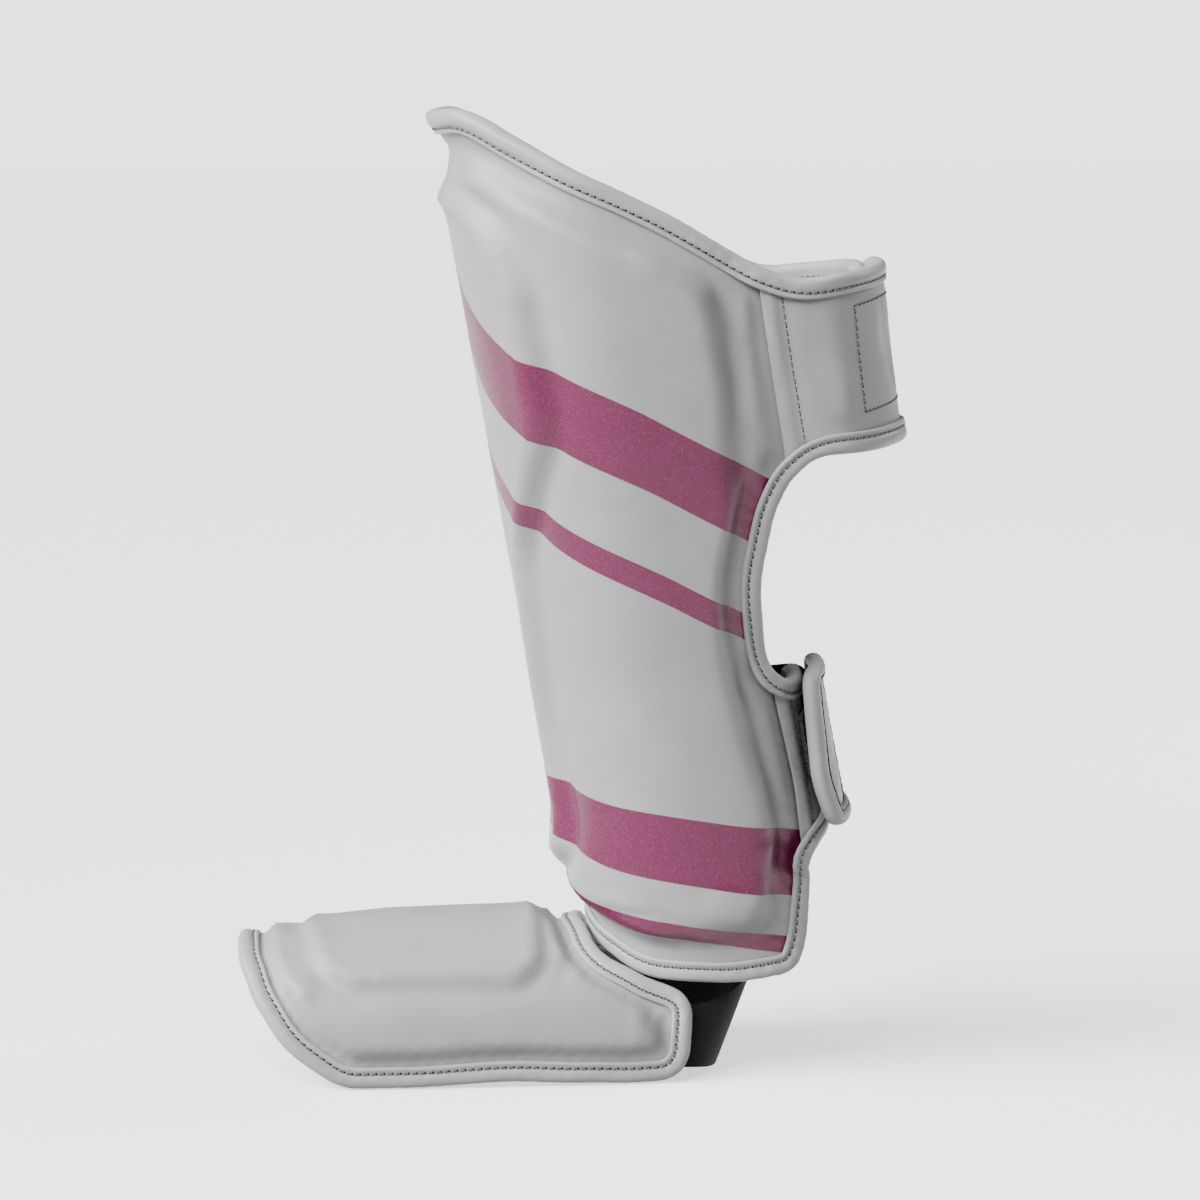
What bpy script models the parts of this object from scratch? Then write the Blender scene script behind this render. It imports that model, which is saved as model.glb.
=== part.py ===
"""Muay thai shin guard with its instep guard, in metres, +Z up, toes towards -Y.

The shell is made round the surface of a leg that leans towards the toes, and the instep guard
over an arch along the foot. Each panel is drawn flat and laid on one of these two surfaces.
"""

import math

import bpy
import numpy as np
from mathutils import Vector
from mathutils.geometry import delaunay_2d_cdt

# Overall sizes
SHELL_HEIGHT = 0.4085        # from the foot of the leg's axis to the shell's peak, along the axis
LEG_LEAN = math.radians(10.0)
LEG_FOOT_Y = 0.0758          # where the leg's axis meets the foot, behind the origin
LEG_FOOT_Z = 0.0035
LEG_HALF_WIDTH = 0.060       # inside of the shell, at the calf
LEG_FRONT = 0.046            # inside of the shell, from the axis forward
LEG_REAR = 0.0930            # from the axis back to the leg side of the calf flaps
LEG_SQUARENESS = 2.5         # exponent of the leg's section: 2 is an ellipse
INSTEP_LENGTH = 0.1834
INSTEP_TOE_Y = -0.1370
INSTEP_HALF_WIDTH = 0.0465   # inside of the instep guard, at its lower edges
INSTEP_RISE = 0.0530         # inside of the instep guard, above its lower edges
INSTEP_SQUARENESS = 2.3

# Walls
MARGIN = 0.0030              # leather and lining at the edges, where there is no foam
WING = 0.0052                # thin padding between the foam block and the flap
FOAM = 0.0115                # the shell's foam block with its leather
FOAM_RAMP = 0.013
RAMP_START = 0.25            # share of the ramp that is already up at the foam's edge
WING_RAMP = 0.0104           # how far a margin takes to swell into a wing
PAD_RISE = 0.0060            # the raised pad down the middle of the shell
PAD_BEVEL = 0.0085
INSTEP_FOAM = 0.0076
INSTEP_PANEL_RISE = 0.0028
INSTEP_PANEL_BEVEL = 0.0070
FLAP = 0.0022                # folded leather of the flaps and the tab
PATCH = 0.0016               # hook or loop tape
ELASTIC = 0.0016
HINGE = 0.0020

# Edge tape
TAPE = 0.0015
TAPE_WIDTH = 0.0080
TAPE_FLAT = 0.84             # share of a fold's height that is flat, between its bevels

# Clearances
SNUG = 0.0004                # between a tape and the edge that it wraps
SEWN = 0.0005                # between two pieces that are sewn to each other
LAY = 0.0011                 # between two layers that lie on each other
FOLD_RISE = 0.0006           # how much higher a tape rides where it passes over a flap's fold
GUIDE = TAPE_WIDTH + 0.0010  # from an edge to where a wall may start to swell

# Loop of elastic behind the heel
HEEL_STRAP_WIDTH = 0.044
HEEL_LAP = 0.018             # how far each end lies inside its wing
HEEL_DEPTH_LOW = 0.013       # from the wings' ends back to the loop's fold, at its lower edge
HEEL_DEPTH_TOP = 0.030
HEEL_SQUARENESS = 2.3
HEEL_LAP_SHARES = np.array([0.0, 0.25, 0.5, 0.75, 1.0])

# Mesh spacing
STEP = 0.0140
FILL_STEP = 0.0170
FINE_STEP = 0.0098
ELASTIC_STEP = 0.0068
FLAT_BEND = 0.02             # a corner that turns less than this, in radians, stays a point
ARC_BEND = 0.7               # how far an arc turns in one piece, in radians
SHARP_ANGLE = math.radians(40.0)

# Sections of the leg: height as a share of SHELL_HEIGHT, and half-width, front and rear as
# shares of LEG_HALF_WIDTH, LEG_FRONT and LEG_REAR
LEG_SECTIONS = (
    # height, half_width, front, rear
    (0.00, 0.71, 1.17, 0.45),
    (0.17, 0.71, 1.16, 0.44),
    (0.22, 0.71, 1.12, 0.435),
    (0.29, 0.72, 1.01, 0.42),
    (0.40, 0.75, 1.00, 0.425),
    (0.49, 0.82, 1.00, 0.71),
    (0.60, 0.89, 1.00, 0.97),
    (0.78, 0.99, 1.00, 1.00),
    (0.89, 1.02, 1.01, 1.02),
    (0.94, 1.03, 1.09, 1.03),
    (0.975, 1.04, 1.23, 1.04),
    (1.00, 1.05, 1.30, 1.04),
)

# Edge of the shell with its flaps, from the peak down the near side to the bottom of the front.
# Turn is the share of the half-girth, 0 at the front and 1 at the middle of the back. Heights and
# corner radii are shares of SHELL_HEIGHT.
SIDE_TOP = (
    # name, turn, height, corner radius
    ("peak", 0.000, 0.997, 0.000),
    ("brow", 0.200, 0.997, 0.150),
    ("shoulder", 0.298, 0.944, 0.150),
    ("slope", 0.358, 0.915, 0.490),
    ("rear_slope", 0.500, 0.862, 0.490),
    ("calf_fold_top", 0.650, 0.796, 0.073),
    ("calf_margin_top", 0.715, 0.776, 0.150),
    ("calf_strap_top", 0.850, 0.774, 0.240),
    ("calf_end_top", 1.090, 0.776, 0.034),
    ("calf_end_low", 1.090, 0.600, 0.034),
    ("calf_strap_low", 0.820, 0.605, 0.240),
    ("calf_margin_low", 0.715, 0.611, 0.150),
    ("calf_fold_low", 0.660, 0.592, 0.054),
    ("hollow_top", 0.631, 0.556, 0.150),
    ("hollow", 0.630, 0.492, 0.220),
    ("hollow_low", 0.690, 0.437, 0.240),
)
ANKLE_WITH_FLAP = (
    ("ankle_fold_top", 0.724, 0.395, 0.025),
    ("ankle_margin_top", 0.795, 0.3765, 0.150),
    ("ankle_end_top", 1.100, 0.379, 0.030),
    ("ankle_end_low", 1.100, 0.236, 0.030),
    ("ankle_margin_low", 0.802, 0.2155, 0.075),
    ("ankle_fold_low", 0.748, 0.203, 0.030),
)
ANKLE_PLAIN = (
    ("ankle_top", 0.718, 0.385, 0.200),
    ("ankle_middle", 0.736, 0.300, 0.200),
)
SIDE_LOW = (
    ("heel", 0.762, 0.185, 0.150),
    ("heel_low", 0.708, 0.122, 0.120),
    ("heel_corner", 0.668, 0.097, 0.045),
    ("bottom", 0.500, 0.099, 0.200),
    ("bottom_front", 0.270, 0.117, 0.150),
    ("arch", 0.170, 0.141, 0.120),
    ("arch_middle", 0.000, 0.167, 0.100),
)

# The shell's foam block and its raised pad, near half, from the top of the front to the bottom
FOAM_EDGE = (
    # turn, height, corner radius
    (0.000, 0.964, 0.000),
    (0.180, 0.962, 0.120),
    (0.262, 0.920, 0.120),
    (0.345, 0.884, 0.300),
    (0.460, 0.838, 0.100),
    (0.522, 0.790, 0.150),
    (0.530, 0.700, 0.200),
    (0.522, 0.620, 0.200),
    (0.560, 0.550, 0.150),
    (0.578, 0.490, 0.200),
    (0.630, 0.420, 0.200),
    (0.660, 0.340, 0.200),
    (0.690, 0.230, 0.120),
    (0.650, 0.143, 0.055),
    (0.500, 0.134, 0.150),
    (0.300, 0.146, 0.100),
    (0.180, 0.168, 0.100),
    (0.000, 0.190, 0.100),
)
PAD_EDGE = (
    (0.000, 0.934, 0.000),
    (0.130, 0.922, 0.075),
    (0.220, 0.878, 0.075),
    (0.249, 0.820, 0.120),
    (0.247, 0.680, 0.100),
    (0.120, 0.550, 0.150),
    (0.070, 0.380, 0.250),
    (0.096, 0.236, 0.030),
    (0.000, 0.224, 0.000),
)

# Sections of the instep guard: place along it as a share of INSTEP_LENGTH from the toes, and
# half-width and rise as shares of INSTEP_HALF_WIDTH and INSTEP_RISE
INSTEP_SECTIONS = (
    # along, half_width, rise
    (0.00, 0.99, 0.90),
    (0.14, 1.02, 0.905),
    (0.36, 1.03, 0.96),
    (0.72, 1.01, 1.00),
    (0.84, 0.99, 1.035),
    (1.00, 0.97, 1.00),
)
# Edge of the instep guard, near half, from the middle of the toes to the middle of the ankle
INSTEP_EDGE = (
    # turn, along, corner radius (shares of INSTEP_LENGTH)
    (0.000, 0.000, 0.000),
    (0.280, 0.004, 0.160),
    (0.540, 0.034, 0.220),
    (0.800, 0.100, 0.250),
    (1.000, 0.225, 0.140),
    (1.000, 0.390, 1.100),
    (0.972, 0.600, 1.100),
    (1.000, 0.850, 0.330),
    (0.985, 0.985, 0.100),
    (0.595, 1.000, 0.065),
    (0.520, 0.900, 0.110),
    (0.390, 0.790, 0.160),
    (0.000, 0.762, 0.110),
)
INSTEP_FOAM_EDGE = (
    (0.000, 0.066, 0.000),
    (0.280, 0.070, 0.110),
    (0.580, 0.112, 0.160),
    (0.880, 0.226, 0.130),
    (0.890, 0.820, 0.087),
    (0.820, 0.905, 0.076),
    (0.680, 0.880, 0.087),
    (0.500, 0.728, 0.110),
    (0.000, 0.704, 0.110),
)
INSTEP_PANEL_EDGE = (
    (0.000, 0.140, 0.000),
    (0.440, 0.175, 0.076),
    (0.530, 0.250, 0.076),
    (0.540, 0.620, 0.076),
    (0.450, 0.668, 0.076),
    (0.000, 0.674, 0.000),
)

# Tab, elastic, patches and hinge: first and last turn, top and lower height as shares of
# SHELL_HEIGHT
FAR_ELASTIC = (-0.640, -1.010, 0.376, 0.262)
TAB = (-0.930, -1.190, 0.386, 0.228)
HOOK = (-1.030, -1.110, 0.345, 0.270)
LOOP = (0.820, 1.035, 0.346, 0.272)
CALF_HOOK = (0.815, 1.040, 0.745, 0.640)
CALF_LOOP = (-0.860, -1.030, 0.745, 0.640)
HINGE_STRIP = (-0.240, 0.240, 0.225, 0.142)
CROSSING = (0.660, 0.780)    # turns between which the near calf flap rises over the far one
PASSING = (0.750, 0.865)     # turns between which the elastic comes out over the ankle flap
HEEL_WING_LOW = 0.960        # turns of the instep guard between which the heel strap is sewn
HEEL_WING_TOP = 0.620
CORNER = 0.006

# Heights of each layer above the leg, where the flaps cross behind it
FLAP_LIFT = MARGIN + LAY
LAYER = max(2.0 * (TAPE + SNUG) + LAY, 2.0 * PATCH + 3.0 * LAY)
CROSSING_LIFT = FLAP_LIFT + FLAP + LAYER
ELASTIC_LIFT = FLAP_LIFT + FLAP + TAPE + SNUG + LAY
EDGE_Z = TAPE + SNUG         # lower edge of the instep guard, above the tape under it

LEATHER = ("white_leather", (0.62, 0.62, 0.61), 0.42)
BINDING = ("binding_leather", (0.66, 0.66, 0.65), 0.38)
BLACK_ELASTIC = ("black_elastic", (0.006, 0.006, 0.006), 0.85)
HOOK_AND_LOOP = ("hook_and_loop", (0.10, 0.10, 0.10), 0.95)


def curve_through(rows, column, at):
    """Values of a table's column at given places, on a smooth curve that never overshoots."""
    table = np.array(rows, dtype=float)
    xs, ys = table[:, 0], table[:, column]
    slopes = np.diff(ys) / np.diff(xs)
    tangents = np.zeros(len(xs))
    for i in range(1, len(xs) - 1):
        if slopes[i - 1] * slopes[i] > 0:
            tangents[i] = 2 * slopes[i - 1] * slopes[i] / (slopes[i - 1] + slopes[i])
    at = np.clip(at, xs[0], xs[-1])
    i = np.clip(np.searchsorted(xs, at) - 1, 0, len(xs) - 2)
    width = xs[i + 1] - xs[i]
    t = (at - xs[i]) / width
    return (
        ys[i] * (1 + 2 * t) * (1 - t) ** 2
        + ys[i + 1] * t * t * (3 - 2 * t)
        + tangents[i] * width * t * (1 - t) ** 2
        - tangents[i + 1] * width * t * t * (1 - t)
    )


def ease(share):
    """A smooth rise from 0 to 1."""
    share = np.clip(share, 0.0, 1.0)
    return share * share * (3.0 - 2.0 * share)


class Surface:
    """A surface swept along one direction, known by a grid of points at even turns."""

    def __init__(self, places, turns, points, girths):
        self.places, self.turns, self.points, self.girths = places, turns, points, girths

    def girth(self, place):
        return np.interp(place, self.places, self.girths)

    def flat(self, turn, place):
        """The point of the flat drawing for a turn and a place along the surface."""
        return np.stack([turn * self.girth(place), np.broadcast_to(place, np.shape(turn))], -1)

    def base(self, flat):
        place = flat[:, 1]
        turn = flat[:, 0] / self.girth(place)
        i = (place - self.places[0]) / (self.places[1] - self.places[0])
        j = (turn - self.turns[0]) / (self.turns[1] - self.turns[0])
        i0 = np.clip(i.astype(int), 0, len(self.places) - 2)
        j0 = np.clip(j.astype(int), 0, len(self.turns) - 2)
        a, b = (i - i0)[:, None], (j - j0)[:, None]
        grid = self.points
        low = grid[i0, j0] * (1 - b) + grid[i0, j0 + 1] * b
        high = grid[i0 + 1, j0] * (1 - b) + grid[i0 + 1, j0 + 1] * b
        return low * (1 - a) + high * a

    def slopes(self, flat):
        """How the surface moves for each metre across and along the flat drawing."""
        step = 0.002
        across = self.base(flat + (step, 0)) - self.base(flat - (step, 0))
        along = self.base(flat + (0, step)) - self.base(flat - (0, step))
        return across / (2 * step), along / (2 * step)

    def place(self, flat, offset):
        """Points at a height above the surface."""
        across, along = self.slopes(flat)
        normal = np.cross(across, along)
        normal /= np.linalg.norm(normal, axis=1)[:, None]
        return self.base(flat) + normal * np.broadcast_to(offset, len(flat))[:, None]


def even_turns(section, turns):
    """Points at even turns along a half section given as a fine line, with its girth."""
    lengths = np.concatenate([[0], np.cumsum(np.linalg.norm(np.diff(section, axis=0), axis=1))])
    wanted = turns * lengths[-1]
    return np.stack([np.interp(wanted, lengths, column) for column in section.T], 1), lengths[-1]


def superellipse(angles, squareness):
    power = 2.0 / squareness
    cosine, sine = np.cos(angles), np.sin(angles)
    return np.sign(cosine) * np.abs(cosine) ** power, np.abs(sine) ** power


def leg_surface():
    """The surface of the leg, closed behind, with turns past the middle of the back."""
    heights = np.linspace(0.0, 1.06, 107) * SHELL_HEIGHT
    turns = np.linspace(0.0, 1.0, 121)
    forward, across = superellipse(np.linspace(0.0, math.pi, 721), LEG_SQUARENESS)
    up = np.array([0.0, -math.sin(LEG_LEAN), math.cos(LEG_LEAN)])
    front = np.array([0.0, -math.cos(LEG_LEAN), -math.sin(LEG_LEAN)])
    foot = np.array([0.0, LEG_FOOT_Y, LEG_FOOT_Z])
    all_turns = np.linspace(-1.25, 1.25, 301)
    grid, girths = [], []
    for height in heights:
        share = height / SHELL_HEIGHT
        width = LEG_HALF_WIDTH * curve_through(LEG_SECTIONS, 1, share)
        front_depth = LEG_FRONT * curve_through(LEG_SECTIONS, 2, share)
        rear_depth = LEG_REAR * curve_through(LEG_SECTIONS, 3, share)
        depth = np.where(forward > 0, front_depth, rear_depth) * forward
        half, girth = even_turns(np.stack([width * across, depth], 1), turns)
        folded = 1.0 - np.abs(1.0 - np.abs(all_turns))
        side = np.sign(all_turns) * np.sign(1.0 - np.abs(all_turns) + 1e-12)
        x = np.interp(folded, turns, half[:, 0]) * side
        p = np.interp(folded, turns, half[:, 1])
        grid.append(foot + height * up + p[:, None] * front + x[:, None] * np.array([1.0, 0, 0]))
        girths.append(girth)
    return Surface(heights, all_turns, np.array(grid), np.array(girths))


def instep_surface():
    """The arch over the foot, straight down past its lower edges."""
    shares = np.linspace(-0.05, 1.05, 111)
    turns = np.linspace(0.0, 1.0, 121)
    rise, across = superellipse(np.linspace(0.0, math.pi / 2, 361), INSTEP_SQUARENESS)
    all_turns = np.linspace(-1.15, 1.15, 277)
    grid, girths = [], []
    for share in shares:
        width = INSTEP_HALF_WIDTH * curve_through(INSTEP_SECTIONS, 1, share)
        height = INSTEP_RISE * curve_through(INSTEP_SECTIONS, 2, share)
        half, girth = even_turns(np.stack([width * across, height * rise], 1), turns)
        inside = np.minimum(np.abs(all_turns), 1.0)
        beyond = np.abs(all_turns) - inside
        x = np.interp(inside, turns, half[:, 0]) * np.sign(all_turns)
        z = EDGE_Z + np.interp(inside, turns, half[:, 1]) - beyond * girth
        y = np.full(len(x), INSTEP_TOE_Y + share * INSTEP_LENGTH)
        grid.append(np.stack([x, y, z], 1))
        girths.append(girth)
    return Surface(shares * INSTEP_LENGTH, all_turns, np.array(grid), np.array(girths))


LEG = leg_surface()
INSTEP = instep_surface()


def rounded(corners, radii, step, closed=True):
    """A line with its corners turned as arcs, and the number of the point at each corner."""
    corners = [Vector(c) for c in corners]
    points, marks = [], []
    count = len(corners)
    for i, corner in enumerate(corners):
        before, after = corners[i - 1], corners[(i + 1) % count]
        end = not closed and i in (0, count - 1)
        into, out = corner - before, after - corner
        bend = 0.0 if end else into.angle(out, 0.0)
        if radii[i] <= 0 or bend < FLAT_BEND:
            arc = [corner]
        else:
            room = 0.48 * min(into.length, out.length)
            cut = min(radii[i] * math.tan(bend / 2), room)
            start = corner - into.normalized() * cut
            finish = corner + out.normalized() * cut
            pieces = 2 * max(1, round(max(bend / ARC_BEND, 2 * cut / step) / 2))
            arc = []
            for k in range(pieces + 1):
                t = k / pieces
                arc.append(start * (1 - t) ** 2 + corner * 2 * t * (1 - t) + finish * t * t)
        if points:
            gap = arc[0] - points[-1]
            pieces = max(1, round(gap.length / step))
            last = points[-1]
            points += [last + gap * (k / pieces) for k in range(1, pieces)]
        marks.append(len(points) + len(arc) // 2)
        points += arc
    if closed:
        gap = points[0] - points[-1]
        pieces = max(1, round(gap.length / step))
        last = points[-1]
        points += [last + gap * (k / pieces) for k in range(1, pieces)]
    return np.array([tuple(p) for p in points]), marks


def mirrored_outline(surface, length, rows, step):
    """A closed line from the rows of its near half, which start and end on the middle."""
    far = [(-turn, share, radius) for turn, share, radius in reversed(rows) if turn > 0]
    table = np.array(list(rows) + far)
    corners = surface.flat(table[:, 0], table[:, 1] * length)
    line, _ = rounded(corners, table[:, 2] * length, step)
    return line


def oblong(surface, length, sides, step):
    """A closed line round an oblong between two turns and two heights."""
    start, end, top, low = sides
    turns = np.array([start, end, end, start])
    shares = np.array([top, top, low, low])
    line, _ = rounded(surface.flat(turns, shares * length), [CORNER] * 4, step)
    return line


def inward_normals(line):
    """Unit vectors to the inner side of a closed flat line."""
    ahead = np.roll(line, -1, axis=0) - np.roll(line, 1, axis=0)
    normal = np.stack([-ahead[:, 1], ahead[:, 0]], 1)
    normal /= np.linalg.norm(normal, axis=1)[:, None]
    x, y = line[:, 0], line[:, 1]
    area = np.sum(x * np.roll(y, -1) - np.roll(x, -1) * y)
    return normal if area > 0 else -normal


def inset(line, distance):
    return line + inward_normals(line) * distance


def depth_inside(points, line):
    """Distance of points from a closed flat line, above zero inside it."""
    start, end = line, np.roll(line, -1, axis=0)
    edge = end - start
    lengths = np.maximum(np.sum(edge * edge, 1), 1e-18)
    offset = points[:, None, :] - start[None]
    t = np.clip(np.sum(offset * edge[None], 2) / lengths, 0, 1)
    distance = np.linalg.norm(offset - t[..., None] * edge[None], axis=2).min(1)
    y0, y1 = start[:, 1][None], end[:, 1][None]
    crosses = (y0 > points[:, 1:2]) != (y1 > points[:, 1:2])
    rise = np.where(y1 == y0, 1.0, y1 - y0)
    at = start[:, 0][None] + (points[:, 1:2] - y0) / rise * edge[:, 0][None]
    inside = np.sum(crosses & (points[:, 0:1] < at), 1) % 2 == 1
    return np.where(inside, distance, -distance)


def fill_points(outline, lines, step, border):
    """Even points inside an outline's border, away from the lines that are already there."""
    low, high = outline.min(0), outline.max(0)
    rows = np.arange(low[1] - step, high[1] + step, step * math.sqrt(3) / 2)
    middle = 0.5 * (low[0] + high[0])
    columns = np.arange(-round((high[0] - low[0]) / step), round((high[0] - low[0]) / step) + 1)
    grid = [(middle + (c + 0.5 * (r % 2)) * step, y) for r, y in enumerate(rows) for c in columns]
    grid = np.array(grid)
    grid = grid[depth_inside(grid, outline) > max(0.6 * step, border)]
    taken = np.concatenate(lines)
    near = np.linalg.norm(grid[:, None] - taken[None], axis=2).min(1)
    return grid[near > 0.62 * step]


def triangulate(outline, loops, runs, step, border):
    """A flat mesh inside an outline, whose edges follow closed loops and open runs."""
    runs = [run[depth_inside(run, outline) > LAY] for run in runs]
    extra = fill_points(outline, [outline] + loops + runs, step, border)
    edges, first = [], len(outline)
    for number, line in enumerate(loops + runs):
        last = first + len(line) - 1
        edges += [(k, k + 1) for k in range(first, last)]
        if number < len(loops):
            edges.append((last, first))
        first = last + 1
    points = np.concatenate([outline] + loops + runs + [extra])
    face = [list(range(len(outline)))]
    made = delaunay_2d_cdt([Vector(p) for p in points], edges, face, 1, 1e-6)
    return np.array([tuple(v) for v in made[0]]), [list(f) for f in made[2]]


def material(finish):
    name, color, roughness = finish
    found = bpy.data.materials.get(name)
    if found:
        return found
    made = bpy.data.materials.new(name)
    made.use_nodes = True
    shader = made.node_tree.nodes["Principled BSDF"]
    shader.inputs["Base Color"].default_value = (*color, 1.0)
    shader.inputs["Roughness"].default_value = roughness
    return made


def add_object(name, points, faces, finish):
    mesh = bpy.data.meshes.new(name)
    mesh.from_pydata([tuple(p) for p in points], [], faces)
    mesh.materials.append(material(finish))
    mesh.shade_smooth()
    mesh.set_sharp_from_angle(angle=SHARP_ANGLE)
    made = bpy.data.objects.new(name, mesh)
    bpy.context.collection.objects.link(made)
    return made


def boundary_edges(faces):
    """Edges that belong to one face only, in the direction of that face."""
    edges = {(f[k], f[(k + 1) % len(f)]) for f in faces for k in range(len(f))}
    return [(a, b) for a, b in edges if (b, a) not in edges]


def wall(name, surface, outline, lines, low, high, finish, step=FILL_STEP, border=GUIDE):
    """A closed wall over a flat outline, between two heights above a surface."""
    loops, runs = lines
    flat, faces = triangulate(outline, loops, runs, step, border)
    count = len(flat)
    bottom = surface.place(flat, low(flat))
    top = surface.place(flat, high(flat))
    rim = []
    for a, b in sorted(boundary_edges(faces)):
        rim.append([a, b, b + count, a + count])
    under = [f[::-1] for f in faces]
    over = [[v + count for v in f] for f in faces]
    return add_object(name, np.concatenate([bottom, top]), under + over + rim, finish)


def inward_steps(surface, line):
    """The flat step at each point of a closed line for each real metre straight inwards."""
    across, along = surface.slopes(line)
    flat_in = inward_normals(line)
    tangent = surface.base(np.roll(line, -1, 0)) - surface.base(np.roll(line, 1, 0))
    tangent /= np.linalg.norm(tangent, axis=1)[:, None]
    inward = across * flat_in[:, :1] + along * flat_in[:, 1:]
    inward -= tangent * np.sum(inward * tangent, 1)[:, None]
    inward /= np.linalg.norm(inward, axis=1)[:, None]
    aa, ab, bb = (np.sum(p * q, 1) for p, q in ((across, across), (across, along), (along, along)))
    ga, gb = np.sum(inward * across, 1), np.sum(inward * along, 1)
    determinant = aa * bb - ab * ab
    return np.stack([(ga * bb - gb * ab) / determinant, (gb * aa - ga * ab) / determinant], 1)


def tape(name, surface, line, low, high, finish):
    """A folded tape round a closed flat line, over the faces between two heights."""
    steps = inward_steps(surface, line)
    middle, flat_half = 0.5 * (low + high), 0.5 * TAPE_FLAT * (high - low)
    fold = -(SNUG + TAPE)
    section = (
        (TAPE_WIDTH, high + SNUG),
        (TAPE_WIDTH, high + SNUG + TAPE),
        (0.0, high + SNUG + TAPE),
        (fold, middle + flat_half),
        (fold, middle - flat_half),
        (0.0, low - SNUG - TAPE),
        (TAPE_WIDTH, low - SNUG - TAPE),
        (TAPE_WIDTH, low - SNUG),
        (-SNUG, low - SNUG),
        (-SNUG, high + SNUG),
    )
    rings = [surface.place(line + steps * inside, offset) for inside, offset in section]
    count, sides = len(line), len(section)
    taped = line + steps * GUIDE
    leads = np.linalg.norm(taped - np.roll(line, -1, 0), axis=1)
    lags = np.linalg.norm(line - np.roll(taped, -1, 0), axis=1)
    x, y = line[:, 0], line[:, 1]
    turns_left = np.sum(x * np.roll(y, -1) - np.roll(x, -1) * y) > 0
    faces = []
    for k in range(sides):
        after = (k + 1) % sides
        deeper = section[k][0] > section[after][0]
        for i in range(count):
            a, b = k * count + i, k * count + (i + 1) % count
            c, d = after * count + (i + 1) % count, after * count + i
            if deeper == (leads[i] < lags[i]):
                halves = [[a, c, b], [a, d, c]]
            else:
                halves = [[a, d, b], [b, d, c]]
            faces += halves if turns_left else [half[::-1] for half in halves]
    return add_object(name, np.concatenate(rings), faces, finish)


def side_rows(ankle, sign):
    rows = SIDE_TOP + ankle + SIDE_LOW
    return [(name, sign * turn, height, radius) for name, turn, height, radius in rows]


def guard_edge():
    """The whole bound edge of the shell with its flaps, and the point at each named corner."""
    near = side_rows(ANKLE_WITH_FLAP, 1)
    far = side_rows(ANKLE_PLAIN, -1)[1:-1]
    rows = [("near_" + r[0], *r[1:]) for r in near]
    rows += [("far_" + r[0], *r[1:]) for r in reversed(far)]
    turns, heights, radii = np.array([r[1:] for r in rows]).T
    corners = LEG.flat(turns, heights * SHELL_HEIGHT)
    line, marks = rounded(corners, radii * SHELL_HEIGHT, STEP)
    return line, {r[0]: mark for r, mark in zip(rows, marks)}


EDGE, CORNERS = guard_edge()
TAPED = EDGE + inward_steps(LEG, EDGE) * GUIDE   # just inside the tape's inner edge


def stretch(line, start, end):
    """Points of a line along the bound edge, from one named corner to another."""
    a, b = sorted((CORNERS[start], CORNERS[end]))
    return line[a:b + 1]


def seam(start, end, step):
    """Points between two points of the bound edge, without the two ends."""
    pieces = max(2, round(np.linalg.norm(end - start) / step))
    shares = np.arange(1, pieces)[:, None] / pieces
    return start + (end - start) * shares


def lift_near_calf(flat):
    """Height of the near calf flap, which rises to pass over the far one."""
    turn = flat[:, 0] / LEG.girth(flat[:, 1])
    return FLAP_LIFT + (CROSSING_LIFT - FLAP_LIFT) * ease((turn - CROSSING[0]) / (CROSSING[1] - CROSSING[0]))


def lift_elastic(flat):
    """Height of the elastic, sewn inside the far margin and passing outside the near flap."""
    turn = -flat[:, 0] / LEG.girth(flat[:, 1])
    inside = -(TAPE + SNUG + LAY + ELASTIC)
    share = (turn - PASSING[0]) / (PASSING[1] - PASSING[0])
    return inside + (ELASTIC_LIFT - inside) * ease(share)


def heel_surface():
    """The inner face of the elastic behind the heel: inside each wing, then round the back."""
    widths = np.linspace(-0.05, 1.05, 45)
    turns = np.linspace(-1.0, 1.0, 161)
    back, across = superellipse(np.linspace(0.0, math.pi / 2, 181), HEEL_SQUARENESS)
    inside = -(TAPE + SNUG + SEWN + ELASTIC)
    grid, girths = [], []
    for share in widths:
        turn = HEEL_WING_LOW + (HEEL_WING_TOP - HEEL_WING_LOW) * share
        laps = INSTEP_LENGTH - HEEL_LAP_SHARES * HEEL_LAP
        lap = INSTEP.place(INSTEP.flat(np.full(len(laps), turn), laps), inside)
        start = lap[0]
        depth = HEEL_DEPTH_LOW + (HEEL_DEPTH_TOP - HEEL_DEPTH_LOW) * share
        fold_z = EDGE_Z + share * HEEL_STRAP_WIDTH
        shares = np.linspace(0.0, 1.0, 181)
        z = fold_z + (start[2] - fold_z) * ease(shares)
        loop = np.stack([start[0] * across, start[1] + depth * back, z], 1)
        half, girth = even_turns(np.concatenate([loop, lap[1:]]), np.abs(turns))
        half[:, 0] *= np.sign(turns)
        grid.append(half)
        girths.append(girth)
    return Surface(widths * HEEL_STRAP_WIDTH, turns, np.array(grid), np.array(girths))


def heel_elastic():
    heel = heel_surface()
    outline = oblong(heel, HEEL_STRAP_WIDTH, (-0.99, 0.99, 1.0, 0.0), FINE_STEP)
    wall("heel_elastic", heel, outline, ([], []), plain(-ELASTIC), plain(0.0), BLACK_ELASTIC,
         FINE_STEP, 0.0)


def plain(height):
    return lambda flat: np.full(len(flat), height)


def fold_ends(side, strap):
    """The two ends of a flap's folded edge, which lies on the shell."""
    return [EDGE[CORNERS[f"{side}_{strap}_fold_{end}"]] for end in ("top", "low")]


def flap_outline(side, strap):
    """A flap's edge: the bound edge round it, and its folded edge."""
    run = stretch(EDGE, f"{side}_{strap}_fold_top", f"{side}_{strap}_fold_low")
    return np.concatenate([run, seam(run[-1], run[0], STEP)])


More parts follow.
